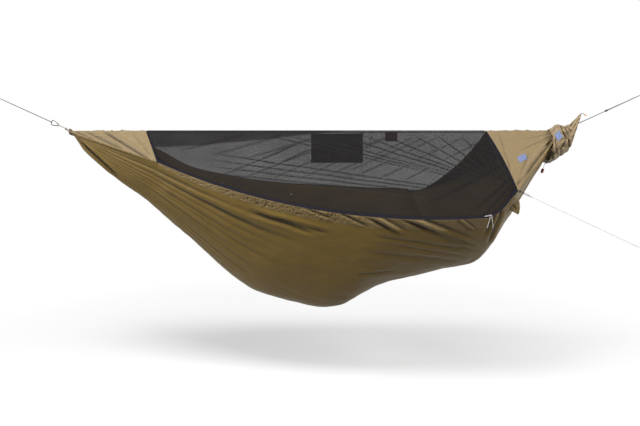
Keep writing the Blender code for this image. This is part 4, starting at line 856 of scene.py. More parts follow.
class Line:
    """One end's suspension line."""

    def __init__(self, side, right, hook_at, bead_at):
        self.side, self.right, self.hook_at, self.bead_at = side, right, hook_at, bead_at
        self.way = suspension_way(right)
        self.rise = self.way.cross(Vector((0, 1, 0))) if right else Vector((0, 1, 0)).cross(self.way)
        self.start = gather_start(right)
        self.length = (anchor(right) - self.start).length

    def at(self, along, across=0.0, up=0.0):
        return self.start + self.way * along + Vector((0, across, 0)) + self.rise * up

    def neck(self, along, turn, radius):
        ring = Vector((0, radius * math.cos(turn), radius * math.sin(turn)))
        return gather(self.right) + self.way * along + ring


def whipping(line):
    """The cord wound round the gathered cloth."""
    radius, steps = NECK_RADIUS + NECK_CLOTH + WRAP_CORD, 24
    start = NECK_LENGTH - WRAP_CORD - WRAP_TURNS * WRAP_PITCH
    coil = [
        line.neck(start + WRAP_PITCH * i / steps, 2 * math.pi * i / steps, radius)
        for i in range(WRAP_TURNS * steps + 1)
    ]
    made = tube(f"{line.side}_whipping_cord", coil, WRAP_CORD)
    dress(made, "tent", "whipping", "grey_cord", f"{line.side}_gather_whipping")


def gather_loop(line):
    """The cord round the gather that the hook holds."""
    radius = NECK_RADIUS + NECK_CLOTH + LOOP_CORD
    seat = NECK_LENGTH - WRAP_TURNS * WRAP_PITCH - 5 * WRAP_CORD
    collar = [line.neck(seat, -a, radius) for a in half_turn(14)]
    clear, bight = radius + 2 * WRAP_CORD + TOUCH, HOOK_WIRE + TOUCH + LOOP_CORD
    out = [
        line.neck(seat + 2 * LOOP_CORD, 0.0, clear), line.neck(NECK_LENGTH, 0.0, clear),
        line.at(RIDGE_EYE_AT, LOOP_CORD + 2 * TOUCH), line.at(line.hook_at - HOOK_WIRE, bight),
    ]
    tip = [line.at(line.hook_at + bight * math.sin(a), bight * math.cos(a)) for a in half_turn()]
    route = [*out, *tip, *mirrored(out), *collar[::-1]]
    made = tube(f"{line.side}_loop_cord", route, LOOP_CORD, closed=True)
    dress(made, "tent", "whipping", "grey_cord", f"{line.side}_gather_loop")


def sling(line):
    """The doubled cord from the hook into the bead."""
    half, narrow = HOOK_WIRE + TOUCH + SLING_CORD, SLING_CORD + TOUCH
    bead, turn = line.bead_at, line.hook_at + HOOK_REACH
    out = [
        line.at(bead - TOUCH, narrow), line.at(bead - BEAD_HALF, narrow * 1.3),
        line.at((bead + turn) / 2, half), line.at(turn + HOOK_WIRE, half),
    ]
    bight = [line.at(turn - half * math.sin(a), half * math.cos(a)) for a in half_turn()]
    made = tube(f"{line.side}_sling_cord", [*out, *bight, *mirrored(out)], SLING_CORD)
    dress(made, "tent", "grey_cord", "grey_cord", f"{line.side}_sling_loop")


def tail(line):
    """The spliced tail from the bead to its eye at the anchor."""
    start, end, steps = line.bead_at + BEAD_HALF + TOUCH, line.length - TAIL_EYE, 24
    points = [line.at(start + (end - start) * i / steps) for i in range(steps + 1)]
    radii = [0.0030 - 0.0010 * min(1.0, i / steps * 1.4) for i in range(steps + 1)]
    made = tube(f"{line.side}_tail", points, radii, 10)
    turns = [2 * math.pi * i / 28 for i in range(28)]
    rim = [line.at(line.length + 1.25 * TAIL_EYE * math.cos(a), 0.0, TAIL_EYE * math.sin(a)) for a in turns]
    eye = tube(f"{line.side}_tail_eye", rim, TAIL_EYE_CORD, 10, closed=True)
    for piece in (made, eye):
        dress(piece, "tent", "grey_cord", "grey_cord", f"{line.side}_sling_tail")


LINES = (Line("left", False, 0.092, 0.449), Line("right", True, 0.068, 0.274))
for end_line in LINES:
    for piece in (whipping, gather_loop, sling, tail):
        piece(end_line)


def elastic_loop():
    """The elastic through the near ring. Gives the middle of its far turn."""
    _, rise = axes_of(NEAR_HEADING)
    tab = near_place(TIE_OUT) + NEAR_HEADING * TAB_START
    ring = tab + NEAR_HEADING * TAB_EYELET + NEAR_HEADING * TIE_RING
    near = ring + NEAR_HEADING * (TIE_RING - TIE_RING_WIRE - TOUCH - ELASTIC)
    far = near + NEAR_HEADING * ELASTIC_REACH
    spread = ELASTIC + TOUCH
    rim = [
        near + rise * (TIE_RING_WIRE + spread) * math.cos(a) - NEAR_HEADING * ELASTIC * math.sin(a)
        for a in half_turn()
    ]
    rim += [
        far - rise * (GUY_CORD + spread) * math.cos(a) + NEAR_HEADING * spread * math.sin(a)
        for a in half_turn()
    ]
    loop = [*rim[6:], *rim[:6]]
    made = tube("elastic_loop", loop, ELASTIC, closed=True)
    dress(made, "guy", "dark_cord", "dark_cord", "shock_cord")
    return far


def knot(at, heading, reach):
    """Turns of a thin cord wound round the guyline."""
    across, rise = axes_of(heading)
    wraps = []
    for i in range(49):
        spoke = rise * math.cos(i * math.pi / 4) + across * math.sin(i * math.pi / 4)
        wraps.append(at + heading * reach * i / 48 + spoke * (GUY_CORD + 0.0006))
    return tube("knot", wraps, KNOT_CORD, 6)


def guyline(start):
    """The guyline, with a knotted eye on the elastic and a knotted loop for a peg."""
    heading = NEAR_HEADING
    _, rise = axes_of(heading)
    eye = start + heading * (GUY_EYE - GUY_CORD - TOUCH)
    begin = eye + heading * GUY_EYE
    end = begin + heading * GUY_LENGTH
    points = between(begin, end, 40)
    line = tube("guyline_cord", points, GUY_CORD)
    dress(line, "guy", "white_cord", "white_cord", "guyline")
    knots = joined("guyline_knots", [
        tube("eye", ring_points(eye, rise, GUY_EYE, 18), GUY_CORD, closed=True),
        tube("eye", ring_points(end + heading * PEG_LOOP, rise, PEG_LOOP, 28), GUY_CORD, closed=True),
        knot(begin, heading, EYE_KNOT), knot(end - heading * PEG_KNOT, heading, PEG_KNOT),
    ])
    dress(knots, "guy", "white_cord", "white_cord", "guyline")


# The pull cord's way: in front of the tab, beside it, below its eye, aside and ahead along the tab
PULL_GUIDE = (
    (1.5, 1.2, 1.0, -0.34, 0.0), (1.5, 0.9, 0.5, -0.16, 0.0), (1.4, 0.3, 0.05, -0.01, 0.0),
    (0.9, 0.0, 0.0, 0.0, 0.0), (-0.9, 0.0, 0.0, 0.0, 0.0), (-1.15, 0.0, 0.0, 0.0, 0.6),
    (-0.6, 0.0, 0.0, 0.0, 1.45), (0.6, 0.0, 0.0, 0.0, 1.45), (1.5, 0.6, 0.1, 0.02, 1.3),
    (1.5, 1.0, 0.5, 0.05, 1.3), (1.5, 1.2, 1.0, 0.07, 1.3),
)


def pull_cord():
    """The white cord that hangs doubled from the zip's pull tab."""
    along, outward = ARC.tangent(1.0), -ARC.axis
    axes = Matrix((along, outward.cross(along).normalized(), outward)).transposed().to_4x4()
    pin = Matrix.Translation((0, TAB_MIDDLE, TAB_RISE))
    hang = pin @ Matrix.Rotation(-TAB_LEAN, 4, "Y") @ pin.inverted()
    turn = Matrix.Translation(ARC.point(1.0, TAPE_WIDTH)) @ axes @ hang
    eye = turn @ Vector((TAB_LENGTH - TAB_HOLE, TAB_MIDDLE, TAB_RISE))
    lead, back, normal = (turn.to_3x3().col[k] for k in range(3))
    clear, out = TAB_HALF_THICK + PULL_CORD + TOUCH, TAB_HALF_WIDE + PULL_CORD + TOUCH
    fall, drift = Vector((0.0, -0.42, -0.9)) * PULL_REACH, Vector((PULL_REACH, 0, 0))
    guide = [
        eye + normal * clear * front - back * out * beside + fall * below + drift * aside
        + lead * (TAB_HOLE + PULL_CORD + TOUCH) * ahead
        for front, beside, below, aside, ahead in PULL_GUIDE
    ]
    points = smooth_line(guide, 72)
    made = tube("pull_cord", points, PULL_CORD)
    dress(made, "pull", "white_cord", "white_cord", "zip_pull_cord")


def organiser_edge(way, inset=0.0):
    """The organiser's left (-1) or right (1) edge, moved in."""
    return ORGANISER.x + way * (ORGANISER_WIDE / 2 - inset)


def organiser_tails():
    """The two short cords at the organiser's lower corners."""
    for side, way in (("left", -1), ("right", 1)):
        start = Vector((organiser_edge(way, 0.0044), 0, ORGANISER_LOW - TOUCH))
        steps = ((0.0, 0.0), (0.0029, -0.024), (0.0096, -0.048))
        points = smooth_line([start + Vector((way * x, 0, z)) for x, z in steps], 16)
        made = tube(f"organiser_cord_{side}", points, ORGANISER_CORD)
        dress(made, "organiser", "dark_cord", "dark_cord", f"organiser_tail_{side}")


def lamp_cord():
    """The thin cord laid over the ridge line, which hangs in small waves to a curled hook."""
    top = place(LAMP_CORD_AT, 0.0, 0.0)
    radius = RIDGE_CORD + LAMP_CORD + TOUCH
    turns = [math.pi * i / 10 for i in range(10, -3, -1)]
    over = [top + Vector((0, -radius * math.cos(a), radius * math.sin(a))) for a in turns]
    guide = [over[-1]]
    shares = (0.0, 1.0, -0.6, 0.9, -0.5, 0.4, 0.0)
    for i, share in enumerate(shares):
        fall = (i + 0.6) / len(shares)
        below = top.z - radius - LAMP_DROP * fall
        guide.append(Vector((top.x + LAMP_SWAY * share, over[-1].y * (1 - fall), below)))
    line = smooth_line(guide, 60)
    centre = line[-1] + Vector((-LAMP_CURL, 0, -LAMP_CURL))
    turns = [-math.pi * i / 24 for i in range(28)]
    curl = [centre + Vector((math.cos(a), 0, math.sin(a))) * LAMP_CURL for a in turns]
    points = over[:-1] + line + curl
    made = tube("hook_cord", points, LAMP_CORD)
    dress(made, "lamp_hook", "dark_cord", "dark_cord", "lamp_hook_cord")


guyline(elastic_loop())
pull_cord()
organiser_tails()
lamp_cord()


# Cloth of the body


def eased(values):
    values = np.clip(values, 0.0, 1.0)
    return values * values * (3 - 2 * values)


def seen(grid):
    """Where each point shows in the front view, in pixels of a picture 640 wide."""
    ray = grid - np.array(VIEW_EYE)
    depth = ray @ np.array(VIEW_WAY)
    return 320 + FOCAL * ray[..., 0] / depth, 213 - FOCAL * (ray @ np.array(VIEW_UP)) / depth


def crease_profile(d):
    """A sharp valley with a soft ridge on each side, over the distance in half widths."""
    return np.exp(-np.abs(d) ** 1.4) - 0.5 * np.exp(-((np.abs(d) - 2.2) ** 2) / 1.3)


def lined(grid, lines, fade=0.25):
    """Creases along straight lines of the front view: how far they push the cloth.

    Each line is its two ends, how deep it is in metres, and its half width in pixels."""
    px, py = seen(grid)
    push = np.zeros(grid.shape[:2])
    for x0, y0, x1, y1, deep, wide in lines:
        length = math.hypot(x1 - x0, y1 - y0)
        way = ((x1 - x0) / length, (y1 - y0) / length)
        along = ((px - x0) * way[0] + (py - y0) * way[1]) / length
        d = ((py - y0) * way[0] - (px - x0) * way[1]) / wide
        ends = eased(along / fade) * eased((1 - along) / fade)
        push += deep * ends * crease_profile(d)
    return push


# (cross share at the left gather, cross share where it ends, its last station, depth, width)
PLEATS = (
    (0.020, 0.030, 0.30, 0.004, 0.008), (0.050, 0.052, 0.44, 0.006, 0.009),
    (0.080, 0.090, 0.52, 0.009, 0.010), (0.112, 0.118, 0.50, 0.008, 0.009),
    (0.140, 0.152, 0.46, 0.009, 0.010), (0.172, 0.180, 0.50, 0.007, 0.009),
    (0.200, 0.215, 0.44, 0.009, 0.010), (0.232, 0.243, 0.48, 0.007, 0.009),
    (0.262, 0.270, 0.42, 0.009, 0.011), (0.292, 0.300, 0.46, 0.008, 0.009),
    (0.322, 0.330, 0.42, 0.008, 0.010), (0.350, 0.358, 0.40, 0.008, 0.009),
    (0.378, 0.384, 0.46, 0.008, 0.009), (0.404, 0.410, 0.44, 0.008, 0.009),
    (0.430, 0.436, 0.46, 0.008, 0.009), (0.456, 0.460, 0.44, 0.008, 0.009),
    (0.484, 0.486, 0.42, 0.007, 0.008), (0.520, 0.516, 0.40, 0.007, 0.009),
    (0.556, 0.550, 0.42, 0.008, 0.010), (0.596, 0.588, 0.46, 0.008, 0.010),
    (0.640, 0.632, 0.44, 0.009, 0.010), (0.686, 0.680, 0.48, 0.008, 0.010),
    (0.730, 0.722, 0.44, 0.009, 0.010), (0.776, 0.770, 0.48, 0.008, 0.009),
    (0.822, 0.815, 0.44, 0.008, 0.010), (0.868, 0.862, 0.46, 0.007, 0.009),
    (0.910, 0.905, 0.40, 0.006, 0.009), (0.952, 0.948, 0.36, 0.005, 0.008),
)
# The same at the right gather, with the first station that they reach
RIGHT_PLEATS = tuple(
    (t, t + 0.01 * math.sin(9 * t), 0.86 + 0.05 * math.cos(23 * t), 0.006, 0.008)
    for t in (0.05, 0.12, 0.19, 0.27, 0.34, 0.42, 0.5, 0.58, 0.66, 0.75, 0.84, 0.93)
)
# Lines of the front view: start, end, depth, width
BED_LINES = (
    (76, 138, 122, 180, 0.012, 1.2), (246, 210, 322, 236, 0.012, 1.9), (268, 216, 332, 234, 0.010, 1.7),
    (372, 215, 410, 236, -0.009, 1.4), (364, 216, 402, 236, 0.006, 1.2),
    (406, 216, 478, 244, -0.012, 1.6), (396, 217, 470, 248, 0.008, 1.3),
    (434, 233, 476, 249, -0.007, 1.2), (366, 235, 476, 251, 0.005, 1.8),
    (384, 243, 474, 258, 0.004, 1.5), (360, 252, 470, 262, 0.004, 1.9),
    (456, 216, 476, 231, -0.007, 1.0), (504, 206, 487, 246, 0.011, 1.4),
    (498, 210, 484, 236, 0.007, 1.3), (352, 275, 395, 271, 0.005, 1.1),
    (372, 282, 420, 274, 0.003, 1.5),
)
STRIP_LINES = BED_LINES + (
    (186, 182, 216, 196, 0.004, 0.9), (300, 206, 336, 220, 0.005, 1.1), (334, 210, 372, 228, 0.006, 1.3),
)


def girths(grid):
    """The length of each row of a grid."""
    return np.linalg.norm(np.diff(grid, axis=1), axis=2).sum(1, keepdims=True)


def pleated(u, t, girth, pleats, from_left=True):
    """Radial pleats that start at a gathered end and fade out over the bed."""
    push = np.zeros(np.broadcast_shapes((len(u), 1), t.shape))
    for start, end, last, deep, wide in pleats:
        s = (u / last if from_left else (1 - u) / (1 - last))[:, None]
        at = start + (end - start) * np.clip(s, 0, 1)
        fade = eased((1 - s) / 0.5)
        width = np.minimum(wide * (0.6 + 0.9 * np.clip(s, 0, 1)), girth * 0.0115)
        depth = np.minimum(deep * 1.3, girth * 0.015)
        d = (t - at) * girth / width
        push += depth * fade * crease_profile(d)
    return push


def necked(grid, crease_shade_and_net_doubling, right, last):
    """A grid and its painted crease shade, with four rows more over its gather's neck, after its last row or
    before its first.
    """
    end = -1 if last else 0
    way = np.array(suspension_way(right)) * NECK_LENGTH
    rows, shade_marks = [grid[end] + way * k / 4 for k in range(1, 5)], [crease_shade_and_net_doubling[end]] * 4
    if last:
        return np.concatenate([grid, rows]), np.concatenate([crease_shade_and_net_doubling, shade_marks])
    return np.concatenate([rows[::-1], grid]), np.concatenate([shade_marks, crease_shade_and_net_doubling])


def bed():
    """The gathered bed, with its pleats and creases."""
    u = np.concatenate([
        np.linspace(0, 0.10, 26)[:-1], np.linspace(0.10, 0.52, 86)[:-1],
        np.linspace(0.52, 0.88, 74)[:-1], np.linspace(0.88, 1.0, 24),
    ])
    across = np.concatenate([np.linspace(0, 0.46, 156)[:-1], np.linspace(0.46, 1.0, 76)])
    edges = np.array([strip_edge(station) for station in u])[:, None]
    shares = edges + (1 - edges) * across
    near, far, low = (as_points([f(x) for x in u]) for f in (near_rim, far_rim, bottom))
    control = 2 * low - (near + far) / 2
    s = shares[..., None]
    grid = near[:, None] * (1 - s) ** 2 + control[:, None] * 2 * s * (1 - s) + far[:, None] * s**2
    girth = girths(grid) / (1 - edges)
    pleats = pleated(u, shares, girth, PLEATS) + pleated(u, shares, girth, RIGHT_PLEATS, from_left=False)
    near_side = eased((0.47 - shares) / 0.08)
    folds = lined(grid, BED_LINES) * near_side
    calm = eased((u - 0.16) / 0.2)[:, None]
    rough = fine_noise(grid, 9.0, 3.1) * 0.0035 + fine_noise(grid * (1, 1, 2.2), 26.0, 9.7) * 0.0012 * calm
    inner = eased(shares / 0.02) * eased((1 - shares) / 0.02)
    # Painted shade in the valleys of the pleats and creases, as deep as they push.
    crease_shade_and_net_doubling = np.clip(pleats / 0.0052, 0, 1) + np.clip(folds / 0.009, 0, 1)
    seam = np.where(edges > 0, eased(across / 0.03), 1.0)
    push = folds + (pleats + rough * np.minimum(1.0, girth / 0.6)) * seam
    hold = np.minimum(1.0, inner + 0.25)
    grid = grid - normals_of(grid) * (push * hold)[..., None]
    for right in (False, True):
        grid, crease_shade_and_net_doubling = necked(grid, crease_shade_and_net_doubling, right, last=right)
    made = cloth("bed_cloth", grid, BED_CLOTH, crease_shade_and_net_doubling=crease_shade_and_net_doubling)
    dress(made, "tent", "cloth", "cloth", "hammock_bed")
    declared(grid)
    return grid


def zip_stations(count):
    return np.concatenate([
        np.linspace(CORNER, ZIP_END, int(count * 0.84)), np.linspace(ZIP_END, TIE, int(count * 0.16) + 1)[1:],
    ])


def side_strip():
    """The puckered light strip under the zip."""
    u, columns = zip_stations(520), 26
    edge = [strip_edge(x) for x in u]
    near = as_points([near_rim(x) for x in u])
    low = as_points([bed_point(x, e) for x, e in zip(u, edge)])
    s = np.linspace(0, 1, columns + 1)[None, :, None]
    grid = near[:, None] * (1 - s) + low[:, None] * s
    width = np.linalg.norm(near - low, axis=1)
    top = eased(s[..., 0] / 0.15)
    inner = top * eased((1 - s[..., 0]) / 0.12)
    tight = np.clip((u - 0.19) * 12, 0.25, 1)[:, None] * np.clip((0.80 - u) * 5, 0.15, 1)[:, None]
    ridged = 1 - 2.2 * np.abs(fine_noise(grid * (1, 1, 0.8), 62.0, 2.0, 3))
    calm = 1 - 0.7 * eased((u - 0.50) / 0.08)[:, None]
    crinkle = ((0.35 - ridged) * 0.0036 + fine_noise(grid, 120.0, 5.0) * 0.0014) * calm
    lines = lined(grid, STRIP_LINES)
    puckers = crinkle * tight * np.minimum(1, width / 0.03)[:, None]
    # Painted shade in the strip's crinkle cavities and creases.
    crease_shade_and_net_doubling = np.clip(crinkle / 0.006, 0, 1) * 0.45 * tight + np.clip(lines / 0.006, 0, 1)
    push = puckers * (0.2 + 0.8 * inner) + lines * (0.2 + 0.8 * top)
    grid = grid - front_normals(grid) * push[..., None]
    made = cloth("strip_cloth_piece", grid, BED_CLOTH, crease_shade_and_net_doubling=crease_shade_and_net_doubling)
    dress(made, "tent", "strip_cloth", "light_cloth", "near_side_strip")
    declared(grid)
    return grid


def panel_row(u, top, half_steps):
    """A row of an end panel, from the near rim over the top to the far rim."""
    near, far, swell = near_rim(u), far_rim(u), end_share(u)
    row = []
    for side, steps in ((near, range(half_steps)), (far, range(half_steps, -1, -1))):
        corner = side.lerp(top, 0.5) + Vector((0, side.y, 0)) * swell * 0.5
        row += [bezier((side, corner, top), i / half_steps) for i in steps]
    return row


# Creases of the end panels in the front view
LEFT_PANEL_LINES = (
    (97, 127, 160, 166, 0.010, 1.3), (80, 129, 128, 151, 0.007, 1.2), (131, 131, 143, 146, 0.003, 0.9),
    (141, 142, 157, 165, 0.004, 0.9), (150, 140, 159, 162, 0.004, 0.8), (72, 130, 98, 141, 0.006, 1.0),
)
RIGHT_PANEL_LINES = (
    (514, 188, 536, 165, 0.006, 1.5), (515, 189, 530, 152, 0.004, 1.3), (500, 140, 512, 172, 0.003, 1.1),
    (556, 135, 524, 176, 0.008, 1.5), (560, 137, 533, 178, 0.005, 1.3), (498, 133, 506, 150, 0.003, 1.1),
    (512, 186, 508, 160, 0.004, 1.1), (520, 180, 548, 146, 0.003, 1.3),
)
# The same of the right panel's far half, seen through the near net
FAR_PANEL_LINES = (
    (465, 142, 512, 164, -0.010, 1.2), (462, 149, 510, 170, 0.009, 1.1),
    (459, 156, 508, 175, -0.010, 1.2), (456, 163, 506, 180, 0.009, 1.1),
    (453, 170, 508, 186, -0.009, 1.2), (478, 137, 502, 154, -0.008, 1.1),
)
# Pleats of the end panels
PANEL_PLEATS = (
    (0.1, 0.12, 0.5, 0.004, 0.007), (0.25, 0.25, 0.8, 0.004, 0.007), (0.37, 0.36, 0.6, 0.004, 0.006),
    *((t, t + 0.012 * math.sin(40 * t), 1.3, 0.008, 0.008) for t in np.linspace(0.55, 0.95, 9).tolist()),
)


def panel_grid(right, half_steps, steps):
    """An end panel between its gather, both rims and both side seams, before it is creased."""
    inner = TIE if right else CORNER
    near_seam, far_seam = (near_seam_right, far_seam_right) if right else (near_seam_left, far_seam_left)
    seam = [near_seam(1 - i / half_steps) for i in range(half_steps)]
    seam.append(near_seam(0.0).lerp(far_seam(0.0), 0.5))
    seam += [far_seam(i / half_steps) for i in range(1, half_steps + 1)]
    top = seam[half_steps]
    straight = panel_row(inner, top, half_steps)
    end = gather(right) + Vector((0, 0, NECK_RADIUS))
    rows = []
    for step in steps:
        row = panel_row(1 - step * (1 - inner) if right else step * inner, end.lerp(top, step), half_steps)
        rows.append([tuple(p + (e - q) * step**2) for p, e, q in zip(row, seam, straight)])
    return np.array(rows)


def end_panel(name, right, node, lines):
    """The light cloth that closes the roof at one end, with its creases and pleats."""
    steps = np.linspace(0, 1, 90) ** 1.3
    grid = panel_grid(right, 46, steps)
    girth = girths(grid)
    t = np.linspace(0, 1, grid.shape[1])
    near_side = eased((0.5 - t) / 0.06)[None, :]
    push = lined(grid, lines) * near_side
    if right:
        push -= lined(grid, FAR_PANEL_LINES) * (1 - near_side)
    push += pleated(steps, t[None, :], girth, PANEL_PLEATS)
    edge = np.minimum(eased(t / 0.05), eased((1 - t) / 0.05))[None, :]
    last = eased((1 - np.linspace(0, 1, 90)[:, None]) / 0.08)
    rough = fine_noise(grid, 20.0, 4.4) * 0.003 + fine_noise(grid, 60.0, 1.4) * 0.0009
    # Painted shade in the panel's creases and pleats.
    crease_shade_and_net_doubling = np.clip(push / 0.007, 0, 1) * 0.7
    push = (push + rough * np.minimum(1.0, girth / 0.3)) * (0.1 + 0.9 * edge * last)
    grid = grid - normals_of(grid) * (push * (1 if right else -1))[..., None]
    bumps = np.abs(fine_noise(grid * (1, 0, 0), 34.0, 2.7)) * np.exp(-(((t - 0.5) / 0.04) ** 2))[None]
    grid[..., 2] += 0.008 * bumps * eased(girth / 0.2) * last
    grid, crease_shade_and_net_doubling = necked(grid, crease_shade_and_net_doubling, right, last=False)
    made = cloth(name, grid, BED_CLOTH, crease_shade_and_net_doubling=crease_shade_and_net_doubling)
    dress(made, "tent", "light_cloth", "light_cloth", node)
    declared(grid)
    return grid


BED_GRID, STRIP_GRID = bed(), side_strip()
LEFT_GRID = end_panel("left_end_cloth", False, "left_end_panel", LEFT_PANEL_LINES)
RIGHT_GRID = end_panel("right_end_cloth", True, "right_end_panel", RIGHT_PANEL_LINES)


def surface_of(grid, closed=False):
    """A search tree of a grid's faces, for laying small pieces on it."""
    rows, columns = grid.shape[:2]
    faces = []
    for i in range(rows - 1):
        for k in range(columns if closed else columns - 1):
            n = (k + 1) % columns
            faces.append((i * columns + k, i * columns + n, (i + 1) * columns + n, (i + 1) * columns + k))
    return BVHTree.FromPolygons([tuple(p) for p in grid.reshape(-1, 3)], faces)


def laid_on(tree, points, lift):
    """Points moved onto a surface and raised off it to the front."""
    found = []
    for point in points:
        spot, normal, _, _ = tree.find_nearest(point)
        if normal.y > 0:
            normal = -normal
        found.append((spot + normal * lift, normal))
    return found


# Nets, zips and bindings


def patch(top, low, left, right, rows, columns):
    """A grid that fills four edge curves, each a function of a share from 0 to 1."""
    v, s = np.linspace(0, 1, rows + 1), np.linspace(0, 1, columns + 1)
    tops, lows = (as_points([edge(x) for x in s.tolist()]) for edge in (top, low))
    lefts, rights = (as_points([edge(x) for x in v.tolist()]) for edge in (left, right))
    v, s = v[:, None, None], s[None, :, None]
    ruled = tops[None] * (1 - v) + lows[None] * v + lefts[:, None] * (1 - s) + rights[:, None] * s
    corners = (tops[0] * (1 - s) + tops[-1] * s) * (1 - v) + (lows[0] * (1 - s) + lows[-1] * s) * v
    return ruled - corners


def station_at(share):
    """The zip's station at a share of its length: four fifths of it are the long arc."""
    if share <= 0.8:
        return CORNER + (ZIP_END - CORNER) * share / 0.8
    return ZIP_END + (TIE - ZIP_END) * (share - 0.8) / 0.2


def seam_way(right):
    """A side seam's direction at the zip, and how much longer an inset is along it."""
    seam, foot = (near_seam_right, TIE) if right else (near_seam_left, CORNER)
    way = (seam(0.9) - seam(1)).normalized()
    rim = near_rim(foot) - near_rim(foot - 0.004 if right else foot + 0.004)
    return way, 1 / way.cross(rim.normalized()).length


def mitred(u, inset):
    """rim_inset, but on a side seam of the door at either end of the zip."""
    if min(abs(u - CORNER), abs(u - TIE)) > 1e-6:
        return rim_inset(u, inset)
    way, longer = seam_way(u > 0.5)
    return near_rim(u) + way * inset * longer


def ending_at(curve, goal):
    shift = goal - curve(1)
    return lambda share: curve(share) + shift * share


# Thin creases of the nets in the front view: two fans that cross, one of them from the tie-out
NET_LINES = tuple((252 + 26 * k, 132 + k % 3, 512, 189, 0.0030, 0.62 + 0.1 * (k % 2)) for k in range(10))
NET_LINES += tuple((206 + 27 * k, 181 + k % 4, 322 + 25 * k, 133, 0.0026, 0.6) for k in range(8))
NET_LINES += tuple((196, 150 + 7 * k, 506, 196 + 2 * k, 0.0024, 0.7) for k in range(4))
FAR_NET_LINES = tuple((176 + 34 * k, 150 + 4 * k, 250 + 36 * k, 133 + k % 3, 0.004, 1.1) for k in range(6))
# How the nets hang below the ridge, how far the far one keeps off its rim, and the coils' pitch
NET_DROP, FAR_INSET, COIL_PITCH = Vector((0, 0, -0.0025)), 0.012, 0.0022


def net_door():
    """The near net, which the zip opens."""
    inset, side = 2 * TAPE_WIDTH, TAPE_WIDTH + 0.0007
    left_foot = 1 - inset * seam_way(False)[1] / (near_seam_left(0) - ARC.start).length
    right_foot = 1 - inset * seam_way(True)[1] / (near_seam_right(0) - near_seam_right(1)).length
    clear = Vector((side, 0, 0))

    def low(s):
        return mitred(station_at(s), inset)

    left = ending_at(lambda v: near_seam_left(v * left_foot) + clear * (1 - v), low(0) + clear * 0.7)
    right = ending_at(lambda v: near_seam_right(v * right_foot) - clear * (1 - v), low(1) - clear * 0.5)
    start, end = near_seam_left(0) + clear, near_seam_right(0) - clear
    grid = patch(lambda s: start.lerp(end, s) + NET_DROP, low, left, right, 84, 420)
    crease = lined(grid, NET_LINES, 0.2)
    v, s = np.linspace(0, 1, 85)[:, None], np.linspace(0, 1, 421)[None]
    edge = np.minimum(1, 12 * np.minimum(v, 1 - v)) * np.minimum(1, 30 * np.minimum(s, 1 - s))
    belly = 0.010 * np.sin(math.pi * v) * np.sin(math.pi * s)
    rough = fine_noise(grid, 6.0, 8.8) * 0.004 + fine_noise(grid, 30.0, 2.8) * 0.0012
    grid = grid - front_normals(grid) * ((crease + belly + rough) * edge)[..., None]
    made = cloth("door_net", grid, NET_CLOTH, crease_shade_and_net_doubling=np.clip(crease / 0.0022, 0, 1))
    dress(made, "door", "net", "net", "net_door")
    declared(grid)


def far_net():
    """The sewn-in net of the far side, and the binding of the rim under it."""
    reach = (far_seam_right(0) - far_seam_right(1)).length
    foot = 1 - FAR_INSET / reach

    def low(s):
        u = station_at(s)
        top = far_seam_right(0.9) if s == 1 else far_seam_left(0).lerp(far_seam_right(0), s)
        edge = far_rim(u)
        return edge + (top - edge).normalized() * FAR_INSET

    grid = patch(
        lambda s: far_seam_left(0).lerp(far_seam_right(0), s) + NET_DROP, low,
        far_seam_left, ending_at(lambda v: far_seam_right(v * foot), low(1)), 56, 200,
    )
    px, py = seen(grid)
    line = np.where(px < 240, 147 - (px - 155) * 6 / 85, 141 - (px - 240) * 0.1)
    doubled = eased((line - py) / 1.2 + 0.5) * 0.75
    crease = lined(grid, FAR_NET_LINES, 0.15)
    v, s = np.linspace(0, 1, 57)[:, None], np.linspace(0, 1, 201)[None]
    hold = np.sin(math.pi * v) ** 0.5 * np.sin(math.pi * s) ** 0.4
    belly = 0.012 * 4 * v * (1 - v)
    rough = fine_noise(grid, 6.0, 3.3) * 0.005
    grid = grid + front_normals(grid) * ((crease + belly + rough) * hold)[..., None]
    crease_shade_and_net_doubling = np.clip(doubled + np.clip(crease / 0.004, 0, 1) * 0.5, 0, 1)
    made = cloth("far_net_cloth", grid, NET_CLOTH, crease_shade_and_net_doubling=crease_shade_and_net_doubling)
    dress(made, "tent", "net", "net", "far_net")
    declared(grid)
    rows = as_points([far_rim(station_at(s)) for s in np.linspace(0, 1, 201).tolist()])
    band = np.stack([rows, rows * 0.5 + grid[-1] * 0.5, grid[-1]], 1)
    made = cloth("far_binding", band, TAPE_CLOTH)
    dress(made, "tent", "webbing", "dark_cord", "far_rim_binding")


def zip_halves():
    """The zip's two tapes and their coils."""
    u = zip_stations(300)
    u[0], u[-1] = CORNER, TIE
    stations = u.tolist()
    for side, inner, outer, body in (
        ("lower", 0.0005, TAPE_WIDTH - 0.0016, "tent"),
        ("upper", TAPE_WIDTH + 0.0016, 2 * TAPE_WIDTH - 0.0005, "door"),
    ):
        rows = [[tuple(mitred(x, inner + (outer - inner) * k / 4)) for k in range(5)] for x in stations]
        dress(cloth(f"{side}_tape", np.array(rows), TAPE_CLOTH), body, "tape", "zip", f"zip_tape_{side}")
    for side, inset, body in (("lower", TAPE_WIDTH - 0.0018, "tent"), ("upper", TAPE_WIDTH + 0.0018, "door")):
        found, ways = evenly([mitred(x, inset) for x in stations], COIL_PITCH)
        out = -np.array(ARC.axis)
        spots = [(p, np.cross(out, w), w) for p, w in zip(found, ways)]
        repeated(f"{side}_coil", spots, (0.0034, 0.0015, 0.0026), body, "coil")


